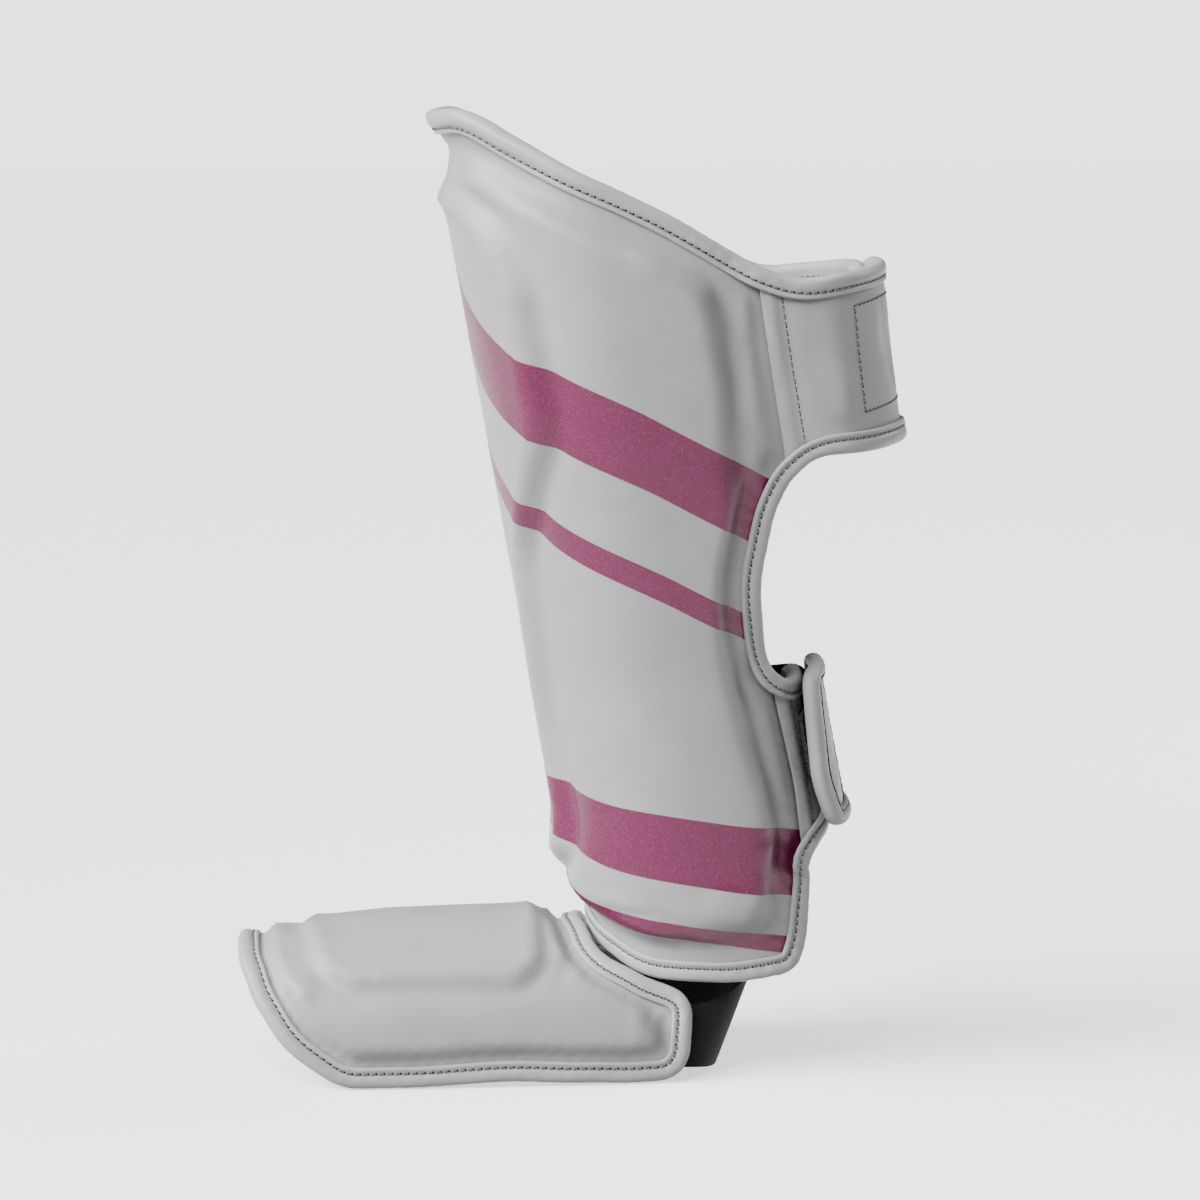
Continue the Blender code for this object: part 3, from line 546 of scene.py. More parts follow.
def seam(start, end):
    """Points on a straight line between two points, without the two ends."""
    pieces = max(2, round(np.linalg.norm(end - start) / STEP))
    shares = np.arange(1, pieces)[:, None] / pieces
    return start + (end - start) * shares


def whole_seam(start, end):
    """The same points with the two ends."""
    return np.concatenate([[start], seam(start, end), [end]])


def lift_near_calf(flat):
    """Height of the near calf flap, which rises to pass over the far one."""
    turn = flat[:, 0] / LEG.girth(flat[:, 1])
    share = (turn - CROSSING[0]) / (CROSSING[1] - CROSSING[0])
    return FLAP_LIFT + (CROSSING_LIFT - FLAP_LIFT) * ease(share)


def lift_elastic(flat):
    """Height of the elastic, sewn inside the far margin and passing outside the near flap."""
    turn = -flat[:, 0] / LEG.girth(flat[:, 1])
    inside = -(TAPE + SNUG + LAY + ELASTIC)
    share = (turn - PASSING[0]) / (PASSING[1] - PASSING[0])
    return inside + (ELASTIC_LIFT - inside) * ease(share)


def heel_surface():
    """The inner face of the elastic behind the heel: inside each wing, then round the back."""
    widths = np.linspace(-0.05, 1.05, 45)
    turns = np.linspace(-1.0, 1.0, 161)
    back, across = superellipse(np.linspace(0.0, math.pi / 2, 181), HEEL_SQUARENESS)
    inside = -(TAPE + SNUG + SEWN + ELASTIC)
    grid, girths = [], []
    for share in widths:
        turn = HEEL_WING_LOW + (HEEL_WING_TOP - HEEL_WING_LOW) * share
        laps = INSTEP_LENGTH - HEEL_LAP_SHARES * HEEL_LAP
        lap = INSTEP.place(INSTEP.flat(np.full(len(laps), turn), laps), inside)
        start = lap[0]
        depth = HEEL_DEPTH_LOW + (HEEL_DEPTH_TOP - HEEL_DEPTH_LOW) * share
        fold_z = EDGE_Z + share * HEEL_STRAP_WIDTH
        shares = np.linspace(0.0, 1.0, 181)
        z = fold_z + (start[2] - fold_z) * ease(shares)
        loop = np.stack([start[0] * across, start[1] + depth * back, z], 1)
        half, girth = even_turns(np.concatenate([loop, lap[1:]]), np.abs(turns))
        half[:, 0] *= np.sign(turns)
        grid.append(half)
        girths.append(girth)
    return Surface(widths * HEEL_STRAP_WIDTH, turns, np.array(grid), np.array(girths))


def plain(height):
    """The same height at every point of the flat drawing."""
    return lambda flat: np.full(len(flat), height)


def fold_ends(side, strap):
    """The two ends of a flap's folded edge, which lies on the shell."""
    return [EDGE[CORNERS[f"{side}_{strap}_fold_{end}"]] for end in ("top", "low")]


def flap_outline(side, strap):
    """A flap's edge: the bound edge round it, and its folded edge."""
    run = stretch(f"{side}_{strap}_fold_top", f"{side}_{strap}_fold_low")
    return np.concatenate([run, seam(run[-1], run[0])])


def shell_bounds():
    """The shell's own edge, cut off along its margins under the flaps."""
    stretches = (
        ("near_peak", "near_calf_margin_top"),
        ("near_calf_margin_low", "near_ankle_margin_top"),
        ("near_ankle_margin_low", "far_calf_margin_low"),
    )
    parts = [stretch(*ends) for ends in stretches] + [EDGE[CORNERS["far_calf_margin_top"]:]]
    outline = [parts[0]]
    for before, after in zip(parts, parts[1:]):
        outline += [seam(before[-1], after[0]), after]
    return np.concatenate(outline)


def edge_heights():
    """Heights between which the tape runs at each point of the bound edge."""
    low = np.zeros(len(EDGE))
    high = np.full(len(EDGE), MARGIN)
    for _, _, _, side, strap, lift, *_ in FLAPS:
        fold = sorted(CORNERS[f"{side}_{strap}_fold_{end}"] for end in ("top", "low"))
        margin = sorted(CORNERS[f"{side}_{strap}_margin_{end}"] for end in ("top", "low"))
        over = slice(fold[0] - 1, fold[1] + 2)
        past = slice(margin[0] + 2, margin[1] - 1)
        high[over] = lift(EDGE[over]) + FLAP
        for corner in fold:
            high[corner - 1:corner + 2] += FOLD_RISE
        low[past] = lift(EDGE[past])
    return low, high


# Folds of the leather on the shell, drawn on the leg: from one turn and height to another, with
# the half-width and the height of the fold in metres, below zero for a crease
SHELL_FOLDS = (
    # turn, height, end turn, end height, half_width, rise
    (0.560, 0.800, 0.598, 0.745, 0.0050, -0.0014),
    (0.598, 0.760, 0.575, 0.655, 0.0050, -0.0018),
    (0.572, 0.670, 0.535, 0.590, 0.0060, -0.0010),
    (0.618, 0.775, 0.606, 0.660, 0.0034, 0.0009),
    (0.640, 0.765, 0.634, 0.690, 0.0024, -0.0008),
    (0.590, 0.800, 0.640, 0.778, 0.0026, -0.0010),
    (0.606, 0.735, 0.645, 0.716, 0.0022, -0.0006),
    (0.575, 0.640, 0.622, 0.585, 0.0038, 0.0010),
    (0.575, 0.600, 0.618, 0.552, 0.0032, -0.0010),
    (0.570, 0.560, 0.605, 0.500, 0.0032, 0.0008),
    (0.178, 0.189, 0.321, 0.177, 0.0022, -0.0014),
    (0.190, 0.200, 0.300, 0.192, 0.0026, 0.0006),
    (0.346, 0.175, 0.414, 0.158, 0.0034, -0.0016),
    (0.414, 0.158, 0.567, 0.147, 0.0032, -0.0013),
    (0.567, 0.147, 0.640, 0.176, 0.0030, -0.0014),
    (0.642, 0.176, 0.629, 0.208, 0.0036, -0.0014),
    (0.430, 0.182, 0.590, 0.170, 0.0056, 0.0012),
    (0.364, 0.154, 0.409, 0.145, 0.0018, -0.0009),
    (0.660, 0.200, 0.705, 0.170, 0.0028, 0.0009),
    (0.655, 0.150, 0.700, 0.135, 0.0024, -0.0009),
    (0.625, 0.240, 0.690, 0.228, 0.0024, -0.0008),
    (0.660, 0.340, 0.676, 0.250, 0.0032, -0.0013),
    (0.640, 0.400, 0.668, 0.350, 0.0036, -0.0010),
    (0.194, 0.867, 0.222, 0.787, 0.0036, 0.0005),
    (0.222, 0.787, 0.219, 0.690, 0.0036, 0.0004),
    (0.330, 0.880, 0.390, 0.850, 0.0060, -0.0006),
    (0.420, 0.845, 0.470, 0.800, 0.0060, 0.0006),
    (0.030, 0.960, 0.180, 0.945, 0.0045, -0.0014),
)
CALF_FOLDS = (
    (0.895, 0.745, 0.925, 0.640, 0.0060, -0.0016),
    (0.950, 0.765, 0.985, 0.690, 0.0045, 0.0008),
    (0.730, 0.765, 0.745, 0.640, 0.0055, -0.0010),
    (0.765, 0.700, 0.770, 0.640, 0.0040, 0.0008),
    (0.730, 0.640, 0.800, 0.622, 0.0040, -0.0009),
    (1.030, 0.750, 1.010, 0.650, 0.0060, -0.0010),
    (0.660, 0.760, 0.662, 0.700, 0.0022, 0.0006),
)
INSTEP_FOLDS = (
    (0.600, 0.915, 0.820, 0.905, 0.0022, -0.0007),
    (0.700, 0.932, 0.880, 0.940, 0.0016, -0.0007),
    (0.640, 0.880, 0.800, 0.872, 0.0022, 0.0004),
    (0.094, 0.712, 0.408, 0.736, 0.0034, -0.0020),
    (0.120, 0.690, 0.400, 0.712, 0.0034, 0.0008),
    (0.408, 0.736, 0.505, 0.715, 0.0036, -0.0012),
    (0.240, 0.100, 0.420, 0.130, 0.0040, -0.0008),
    (0.460, 0.150, 0.620, 0.130, 0.0050, 0.0012),
    (0.891, 0.526, 0.915, 0.705, 0.0024, -0.0012),
    (0.330, 0.780, 0.480, 0.800, 0.0028, 0.0007),
)
# Places round the bound edge where the tape and leather are gathered: from one named corner to
# another, with the height of the gathers
GATHERS = (
    ("near_rear_slope", "near_calf_margin_top", 0.00045),
    ("near_calf_fold_low", "near_hollow", 0.00040),
    ("near_hollow_low", "near_ankle_margin_top", 0.00040),
    ("near_ankle_margin_low", "near_heel_low", 0.00040),
    ("near_heel_low", "near_bottom", 0.00050),
    ("far_calf_margin_top", "far_rear_slope", 0.00045),
    ("far_hollow", "far_calf_fold_low", 0.00040),
    ("far_bottom", "far_heel_low", 0.00050),
)

# The flaps that fold back from the shell's edge
FLAPS = (
    # piece, CAD node, its stitches, side, strap, height above the leg, folds, seed of its noise
    ("calf_strap_near", "calf_flap_near", "calf_stitches_near", "near", "calf", lift_near_calf,
     CALF_FOLDS, 4.0),
    ("calf_strap_far", "calf_flap_far", "calf_stitches_far", "far", "calf", plain(FLAP_LIFT),
     CALF_FOLDS, 6.0),
    ("ankle_strap", "ankle_flap", "ankle_stitches", "near", "ankle", plain(FLAP_LIFT), (), 8.0),
)

# Soft forms of the foam and the leather
SOFT_RAMP = 0.0125           # the foam's shoulder beside the calf flaps, softer than elsewhere
FOAM_REACH = 0.009           # how far the side foam spreads past its drawn edge below the leather
INSTEP_REACH = 0.010
INSTEP_RAMP = 0.014          # the soft shoulder of the instep foam, down to its tape
INSTEP_SWELL = 0.0065        # how far the instep's margin takes to swell to its foam
PUCKER = 0.00022             # height of the puckers that run in from a tape
PUCKER_REACH = 0.006
FLAP_SEAM = 0.0075           # from a flap's fold to its seam, and from the seam's ends to its edge
SEAM_GROOVE = 0.0006
FOLD_ROLL = 0.0011           # how far a flap's leather rounds off at its fold
FOLD_PUFF = 0.0005
PATCH_GAP = 0.0004           # from a flap up to the loop patch sewn on it

# Tape and its gathers
TAB_TAPE_SEEN = 0.0050
GATHER_LENGTH = 0.0065       # along the edge, from one gather to the next
DRIFT_LENGTH = 0.031         # and from one slow wave of the tape to the next
DRIFT = 0.00012
EVEN_GATHER = 0.00010        # height of the gathers where GATHERS names none
INSTEP_GATHER = 0.00022
TAB_GATHER = 0.00014
PUFF = 0.00045               # how far a tape swells between its stitches and its fold

# Stitches
STITCH_PITCH = 0.0033
STITCH_LENGTH = 0.0022
STITCH_SLANT = math.radians(14.0)
STITCH_ROW = 0.0043          # from the folded edge to the row of stitches along a tape
TAB_STITCH_ROW = 0.0036
SINK = 0.0001                # how far a row of stitches is drawn into the leather
BOX_MARGIN = 0.010           # in turns, from the hook patch out to the stitches beside it


def depth(points, line):
    """Depth of many points inside a closed flat line, worked out some thousands at a time."""
    return np.concatenate([depth_inside(points[k:k + 3000], line)
                           for k in range(0, len(points), 3000)])


def clear_of(grid, taken, distance):
    """Points that keep a distance from others, found by sorting both into square cells."""
    cells = {}
    for x, y in taken:
        cells.setdefault((int(x // distance), int(y // distance)), []).append((x, y))
    kept = []
    for x, y in grid:
        i, j = int(x // distance), int(y // distance)
        near = [q for a in (i - 1, i, i + 1) for b in (j - 1, j, j + 1)
                for q in cells.get((a, b), ())]
        if all((q[0] - x) ** 2 + (q[1] - y) ** 2 > distance * distance for q in near):
            kept.append((x, y))
    return np.array(kept)


def fine_fill(outline, lines, step):
    """Points of an even grid inside an outline, clear of the lines drawn there."""
    low, high = outline.min(0), outline.max(0)
    rows = np.arange(low[1] - step, high[1] + step, step * math.sqrt(3) / 2)
    middle = 0.5 * (low[0] + high[0])
    count = round((high[0] - low[0]) / step)
    columns = np.arange(-count, count + 1)
    grid = np.array([(middle + (c + 0.5 * (r % 2)) * step, y) for r, y in enumerate(rows)
                     for c in columns])
    grid = grid[(grid[:, 0] > low[0]) & (grid[:, 0] < high[0])]
    grid = grid[depth(grid, outline) > 0.5 * step]
    return clear_of(grid, np.concatenate(lines), 0.6 * step)


def triangulate(outline, loops, step):
    """An even flat mesh inside an outline, with edges along the closed lines in it."""
    extra = fine_fill(outline, [outline] + loops, step)
    edges, first = [], len(outline)
    for line in loops:
        last = first + len(line) - 1
        edges += [(k, k + 1) for k in range(first, last)] + [(last, first)]
        first = last + 1
    points = np.concatenate([outline] + loops + [extra])
    made = delaunay_2d_cdt([Vector(p) for p in points], edges, [list(range(len(outline)))], 1, 1e-7)
    return np.array([tuple(v) for v in made[0]]), [list(f) for f in made[2]]


def new_object(name, points, faces, materials, numbers=None, uv=None):
    """A piece with its materials, the number of the material on each face, and its flat drawing
    as a UV map in metres."""
    mesh = bpy.data.meshes.new(name)
    mesh.from_pydata([tuple(p) for p in points], [], faces)
    for each in materials:
        mesh.materials.append(each)
    if numbers is not None:
        mesh.polygons.foreach_set("material_index", np.array(numbers, dtype=np.int32))
    if uv is not None:
        layer = mesh.uv_layers.new(name="flat")
        corners = np.empty(len(mesh.loops), dtype=np.int32)
        mesh.loops.foreach_get("vertex_index", corners)
        layer.data.foreach_set("uv", np.asarray(uv, dtype=np.float32)[corners].ravel())
    mesh.validate()
    mesh.shade_smooth()
    made = bpy.data.objects.new(name, mesh)
    bpy.context.scene.collection.objects.link(made)
    return made


def wall(name, surface, outline, loops, low, high, materials, step=STEP):
    """A closed wall over a flat outline: the first material outside, the last one inside."""
    flat, faces = triangulate(outline, loops, step)
    count = len(flat)
    bottom, top = surface.place(flat, low(flat)), surface.place(flat, high(flat))
    rim = [[a, b, b + count, a + count] for a, b in sorted(boundary_edges(faces))]
    under = [f[::-1] for f in faces]
    over = [[v + count for v in f] for f in faces]
    numbers = [len(materials) - 1] * len(under) + [0] * (len(over) + len(rim))
    made = new_object(name, np.concatenate([bottom, top]), under + over + rim, materials, numbers,
                      np.concatenate([flat, flat]))
    made.data.set_sharp_from_angle(angle=WALL_SHARP)
    return made


def bell(value, middle, width):
    """A smooth rise to 1 where a value is at its middle, and back to 0 beyond a width."""
    return np.exp(-((value - middle) / width) ** 2)


def from_line(flat, start, end):
    """Share of a straight line beside which each point lies, and its distance from the line."""
    along = end - start
    offset = flat - start
    t = np.clip(offset @ along / (along @ along), 0.0, 1.0)
    return t, np.linalg.norm(offset - t[:, None] * along, axis=1)


def folds(flat, surface, length, rows):
    """Height of the leather's folds and creases at points of the flat drawing, on both sides."""
    height = np.zeros(len(flat))
    for turn, share, end_turn, end_share, half_width, rise in rows:
        ends = surface.flat(np.array([turn, end_turn]), np.array([share, end_share]) * length)
        for mirrored in (1.0, -1.0):
            t, distance = from_line(flat, *(ends * (mirrored, 1.0)))
            sway = 0.25 * half_width * np.sin(7.0 * t + 40.0 * turn)
            taper = np.sin(math.pi * (0.12 + 0.76 * t))
            height += rise * taper * bell(distance - sway, 0.0, half_width)
    return height


def unevenness(flat, *layers):
    """Gentle, even noise over the flat drawing, from layers with a size, a rise and a seed."""
    return sum(rise * np.array([noise.noise((x / size, y / size, seed)) for x, y in flat])
               for size, rise, seed in layers)


def line_lengths(points, closed=True):
    """Length of a line up to each of its points."""
    ahead = np.roll(points, -1, 0) if closed else points[1:]
    steps = np.linalg.norm(ahead - points[:len(ahead)], axis=1)
    return np.concatenate([[0.0], np.cumsum(steps)])


def smoothed(values, reach):
    """Values round a closed line, evened out over some points each way."""
    kernel = np.hanning(2 * reach + 3)[1:-1]
    kernel /= kernel.sum()
    padded = np.concatenate([values[-reach:], values, values[:reach]])
    return np.convolve(padded, kernel, "valid")


def gather_heights():
    """How high the tape is gathered at each point of the bound edge."""
    amount = np.full(len(EDGE), EVEN_GATHER)
    for start, end, rise in GATHERS:
        a, b = sorted((CORNERS[start], CORNERS[end]))
        amount[a:b + 1] = rise
    return smoothed(amount, 6)


def tape_piece(name, surface, line, low, high, gathers, width, row):
    """A folded leather tape round a closed flat line, puffed between its stitches and its fold."""
    steps = inward_steps(surface, line)
    lengths = line_lengths(surface.base(line))[:-1]
    wave = np.sin(lengths * 2 * math.pi / GATHER_LENGTH + 2.0 * np.sin(lengths * 90.0))
    drift = np.sin(lengths * 2 * math.pi / DRIFT_LENGTH + 1.0)
    pucker = gathers * wave + DRIFT * drift
    middle, half = 0.5 * (low + high), 0.5 * (high - low)
    top = high + SNUG + TAPE
    bottom = low - SNUG - TAPE
    # Outer side, from the sewn-in edge over the groove of the stitches to the puffed rim
    section = [(width, high + SNUG), (width, high + SNUG + 0.55 * TAPE),
               (width - 0.0004, top - 0.0001), (width - 0.0010, top + 0.4 * pucker)]
    section += [(row + 0.0009, top - 0.00010 + 0.4 * pucker), (row + 0.0003, top - 0.00050),
                (row - 0.0003, top - 0.00050), (row - 0.0009, top + 0.6 * pucker),
                (0.0024, top + 0.7 * PUFF + pucker), (0.0014, top + PUFF + pucker)]
    # Round the fold
    reach = SNUG + TAPE + 0.0006
    swell = half + SNUG + TAPE + 0.8 * PUFF
    for k in range(9):
        angle = math.radians(78.0 - 156.0 * k / 8)
        inside = 0.0008 - (reach + 0.0002) * math.cos(angle) ** 0.8
        section.append((inside + 0.25 * pucker, middle + swell * math.sin(angle)))
    # Inner side, and back along the edge that the tape wraps
    section += [(0.0022, bottom - PUFF), (row, bottom + 0.0003),
                (width - 0.0006, bottom), (width, low - SNUG), (-SNUG, low - SNUG),
                (-SNUG, high + SNUG)]
    rings = [surface.place(line + steps * np.broadcast_to(inside, len(line))[:, None], offset)
             for inside, offset in section]
    count, sides = len(line), len(section)
    turns_left = double_area(line) > 0
    faces = []
    for k in range(sides):
        after = (k + 1) % sides
        for i in range(count):
            j = (i + 1) % count
            face = [k * count + i, after * count + i, after * count + j, k * count + j]
            faces.append(face[::-1] if turns_left else face)
    across = np.array([0.0008 * k for k in range(sides)])
    uv = np.stack([np.tile(lengths, sides), np.repeat(across, count)], 1)
    made = new_object(name, np.concatenate(rings), faces, [BINDING], None, uv)
    made.data.set_sharp_from_angle(angle=TAPE_SHARP)
    return made


def modelled(squash, at, segments):
    """The points and faces of a round grain, one metre long along X, squashed and moved."""
    bpy.ops.object.select_all(action="DESELECT")
    bpy.ops.mesh.primitive_uv_sphere_add(segments=segments, ring_count=4, radius=0.5,
                                         rotation=(0.0, math.pi / 2, 0.0))
    model = bpy.context.object
    bpy.ops.object.transform_apply(location=False, rotation=True, scale=False)
    bpy.ops.object.mode_set(mode="EDIT")
    bpy.ops.mesh.select_all(action="SELECT")
    bpy.ops.transform.resize(value=squash)
    bpy.ops.transform.translate(value=at)
    bpy.ops.object.mode_set(mode="OBJECT")
    points = np.array([v.co[:] for v in model.data.vertices])
    faces = [list(p.vertices) for p in model.data.polygons]
    bpy.data.objects.remove(model)
    return points, faces


def one_stitch():
    """A thread stitch that slants across its row, and a disc of painted shade at its needle hole."""
    thread, thread_faces = modelled((1.0, 0.34, 0.20), (0.0, 0.0, 0.06), 6)
    # The needle hole: a flat dark disc of painted shade
    hole, hole_faces = modelled((0.40, 0.44, 0.06), (0.62, 0.08, 0.03), 6)
    cosine, sine = math.cos(STITCH_SLANT), math.sin(STITCH_SLANT)
    thread = thread @ np.array([[cosine, sine, 0], [-sine, cosine, 0], [0, 0, 1]])
    faces = thread_faces + [[v + len(thread) for v in f] for f in hole_faces]
    numbers = [0] * len(thread_faces) + [1] * len(hole_faces)
    return np.concatenate([thread, hole]), faces, numbers


STITCH_POINTS, STITCH_FACES, STITCH_NUMBERS = one_stitch()


def row_of_places(surface, flat, height, closed):
    """Evenly spaced places along a line on a surface, each with its direction and its normal."""
    points = surface.place(flat, height)
    raised = surface.place(flat, height + 0.001)
    if closed:
        points = np.concatenate([points, points[:1]])
        raised = np.concatenate([raised, raised[:1]])
    lengths = line_lengths(points, False)
    count = max(1, round(lengths[-1] / STITCH_PITCH))
    at = (np.arange(count) + 0.5) * lengths[-1] / count
    middle = np.stack([np.interp(at, lengths, c) for c in points.T], 1)
    ahead = np.stack([np.interp(at + 0.0004, lengths, c) for c in points.T], 1)
    behind = np.stack([np.interp(at - 0.0004, lengths, c) for c in points.T], 1)
    up = np.stack([np.interp(at, lengths, c) for c in raised.T], 1) - middle
    along = ahead - behind
    along /= np.linalg.norm(along, axis=1)[:, None]
    up -= along * np.sum(up * along, 1)[:, None]
    up /= np.linalg.norm(up, axis=1)[:, None]
    return middle, along, up


def stitches(name, rows, materials):
    """All the stitches of one piece, as copies of one stitch along rows of places."""
    points, faces, numbers = [], [], []
    for middle, along, up in rows:
        side = np.cross(up, along)
        for k in range(len(middle)):
            turned = (STITCH_POINTS[:, :1] * along[k] + STITCH_POINTS[:, 1:2] * side[k]
                      + STITCH_POINTS[:, 2:] * up[k])
            first = len(points) * len(STITCH_POINTS)
            points.append(middle[k] + turned * STITCH_LENGTH)
            faces += [[v + first for v in f] for f in STITCH_FACES]
            numbers += STITCH_NUMBERS
    return new_object(name, np.concatenate(points), faces, materials, numbers)


def rim_relief(inside, bevel, ridge, valley):
    """The ridge along a raised panel's rim and the valley at its foot, each a rise and a width."""
    return (ridge[0] * bell(inside, 0.5 * bevel, ridge[1])
            - valley[0] * bell(inside, -0.55 * bevel, valley[1]))


def edge_pucker(flat, edge, length):
    """Small puckers that run in from the tape, where the depth inside the edge is known."""
    along = np.abs(flat[:, 0]) + flat[:, 1]
    return PUCKER * bell(edge, GUIDE, PUCKER_REACH) * np.sin(along * 2 * math.pi / length)


def shell_thickness(outline, flaps, foam, pad):
    """The shell's thickness over the flat drawing, with its soft shoulders, pad edge and folds."""
    def thickness(flat):
        turn = np.abs(flat[:, 0]) / LEG.girth(flat[:, 1])
        share = flat[:, 1] / SHELL_HEIGHT
        edge, in_foam, in_pad = (depth(flat, line) for line in (outline, foam, pad))
        free = np.min([edge - GUIDE] + [-depth(flat, f) - SNUG for f in flaps], axis=0)
        side = ease((turn - 0.36) / 0.12) * ease((share - 0.50) / 0.12) * ease((0.86 - share) / 0.08)
        ramp = FOAM_RAMP + (SOFT_RAMP - FOAM_RAMP) * side
        rise = ease(free / WING_RAMP)
        wing = (WING - MARGIN) * ease(-in_foam / WING_RAMP)
        block = (FOAM - MARGIN) * ease(RAMP_START + (in_foam + FOAM_REACH * side) / ramp)
        raised = PAD_RISE * ease(0.5 + in_pad / PAD_BEVEL) ** 0.9
        relief = rim_relief(in_pad, PAD_BEVEL, (0.0007, 0.0035), (0.0006, 0.0040))
        relief = relief + folds(flat, LEG, SHELL_HEIGHT, SHELL_FOLDS)
        relief = relief + unevenness(flat, (0.060, 0.00040, 3.0), (0.016, 0.00010, 9.0))
        pucker = edge_pucker(flat, edge, 0.0085) * ease(edge / 0.004)
        return MARGIN + rise * (wing + block + raised) + relief * ease(free / 0.006) + pucker

    return thickness


def build_shell():
    """The padded wall round the shin: printed leather outside, lining inside."""
    outline = shell_bounds()
    flaps = [flap_outline(side, strap) for _, _, _, side, strap, *_ in FLAPS]
    foam, pad = (mirrored_outline(LEG, SHELL_HEIGHT, rows) for rows in (FOAM_EDGE, PAD_EDGE))
    return wall("padded_shell", LEG, outline, [inset(pad, 0.5 * PAD_BEVEL)], plain(0.0),
                shell_thickness(outline, flaps, foam, pad), [PRINTED_LEATHER, LINING])


def seam_beside_fold(side, strap, short=0.0):
    """The straight seam of the flat drawing that runs beside a flap's folded edge."""
    top, low = fold_ends(side, strap)
    along = (low - top) / np.linalg.norm(low - top)
    away = np.array([-along[1], along[0]])
    away *= np.sign(away[0]) * (1.0 if side == "near" else -1.0)
    return top + away * FLAP_SEAM + along * short, low + away * FLAP_SEAM - along * short


def folded_flap(name, side, strap, lift, fold_rows, seed):
    """A flap of thin leather folded back from the shell, its outer height, and its row of stitches."""
    sewn, fold = seam_beside_fold(side, strap), fold_ends(side, strap)

    def high(flat):
        crease = folds(flat, LEG, SHELL_HEIGHT, fold_rows)
        groove = SEAM_GROOVE * bell(from_line(flat, *sewn)[1], 0.0, 0.0022)
        uneven = unevenness(flat, (0.024, 0.00045, seed), (0.009, 0.00012, seed))
        return lift(flat) + FLAP + crease - groove + uneven

    def rolled(flat):
        distance = from_line(flat, *fold)[1]
        roll = FOLD_ROLL * np.sqrt(np.clip(1.0 - distance / 0.0016, 0.0, 1.0))
        return high(flat) - roll + FOLD_PUFF * bell(distance, 0.0035, 0.0022)

    made = wall(name, LEG, flap_outline(side, strap), [], lift, rolled,
                [WHITE_LEATHER, WHITE_LEATHER])
    row = whole_seam(*seam_beside_fold(side, strap, FLAP_SEAM))
    return made, high, [row_of_places(LEG, row, high(row) + SINK, False)]


def oblong_piece(name, sides, low, thickness, material, step=STEP, relief=plain(0.0)):
    """A flat piece laid on the leg between two turns and two heights."""
    return wall(name, LEG, oblong(LEG, SHELL_HEIGHT, sides, step), [], low,
                lambda flat: low(flat) + thickness + relief(flat), [material], step)


def box_rows(sides, high):
    """The stitches that hold the patch: along the top, down, and back below."""
    near, far, top, low = sides
    turns = np.array([far, near - BOX_MARGIN, near - BOX_MARGIN, far])
    corners = LEG.flat(turns, np.array([top, top, low, low]) * SHELL_HEIGHT)
    parts = [whole_seam(a, b) for a, b in zip(corners, corners[1:])]
    return [row_of_places(LEG, part, high(part) + SINK, False) for part in parts]


def bound(name, surface, line, low, high, gathers, width=TAPE_SEEN, row=STITCH_ROW):
    """The tape round an edge, with a row of stitches on its outer and on its inner side."""
    made = tape_piece(name, surface, line, low, high, gathers, width, row)
    sewn = line + inward_steps(surface, line) * row
    return made, [row_of_places(surface, sewn, high + SNUG + TAPE - SINK, True),
                  row_of_places(surface, sewn, low - SNUG - TAPE + SINK, True)]


def instep_thickness(outline, foam, panel):
    """The instep guard's thickness over the flat drawing, with its panel edge and folds."""
    def thickness(flat):
        edge, in_foam, in_panel = (depth(flat, line) for line in (outline, foam, panel))
        rise = ease((edge - GUIDE) / INSTEP_SWELL)
        block = (INSTEP_FOAM - MARGIN) * ease(RAMP_START + (in_foam + INSTEP_REACH) / INSTEP_RAMP)
        raised = INSTEP_PANEL_RISE * ease(0.5 + in_panel / INSTEP_PANEL_BEVEL)
        relief = rim_relief(in_panel, INSTEP_PANEL_BEVEL, (0.0004, 0.0030), (0.0004, 0.0032))
        relief = relief + folds(flat, INSTEP, INSTEP_LENGTH, INSTEP_FOLDS)
        relief = relief + unevenness(flat, (0.040, 0.00045, 5.0), (0.014, 0.00014, 7.0))
        inside = ease((edge - 0.004) / 0.006)
        return MARGIN + rise * (block + raised) + inside * relief + edge_pucker(flat, edge, 0.0080)

    return thickness


def build_instep():
    """The padded arch over the foot, the tape round it, and its rows of stitches."""
    outline, foam, panel = (mirrored_outline(INSTEP, INSTEP_LENGTH, rows)
                            for rows in (INSTEP_EDGE, INSTEP_FOAM_EDGE, INSTEP_PANEL_EDGE))
    guard = wall("padded_instep", INSTEP, outline, [inset(panel, 0.5 * INSTEP_PANEL_BEVEL)],
                 plain(0.0), instep_thickness(outline, foam, panel), [WHITE_LEATHER, LINING])
    low = np.zeros(len(outline))
    return guard, *bound("bound_instep", INSTEP, outline, low, low + MARGIN,
                         np.full(len(outline), INSTEP_GATHER))


def build_tab():
    """The tab on the far elastic, and the tape round it with its outer row of stitches."""
    outline = oblong(LEG, SHELL_HEIGHT, TAB, STEP)

    def high(flat):
        crown = 0.0007 * ease((depth(flat, outline) - 0.006) / 0.012)
        return TAB_LIFT + FLAP + crown + unevenness(flat, (0.012, 0.0003, 2.0))

    tab = wall("leather_tab", LEG, outline, [], plain(TAB_LIFT), high,
               [WHITE_LEATHER, WHITE_LEATHER])
    low = np.full(len(outline), TAB_LIFT)
    tape, rows = bound("bound_tab", LEG, outline, low, low + FLAP,
                       np.full(len(outline), TAB_GATHER), TAB_TAPE_SEEN, TAB_STITCH_ROW)
    return tab, tape, rows[:1]


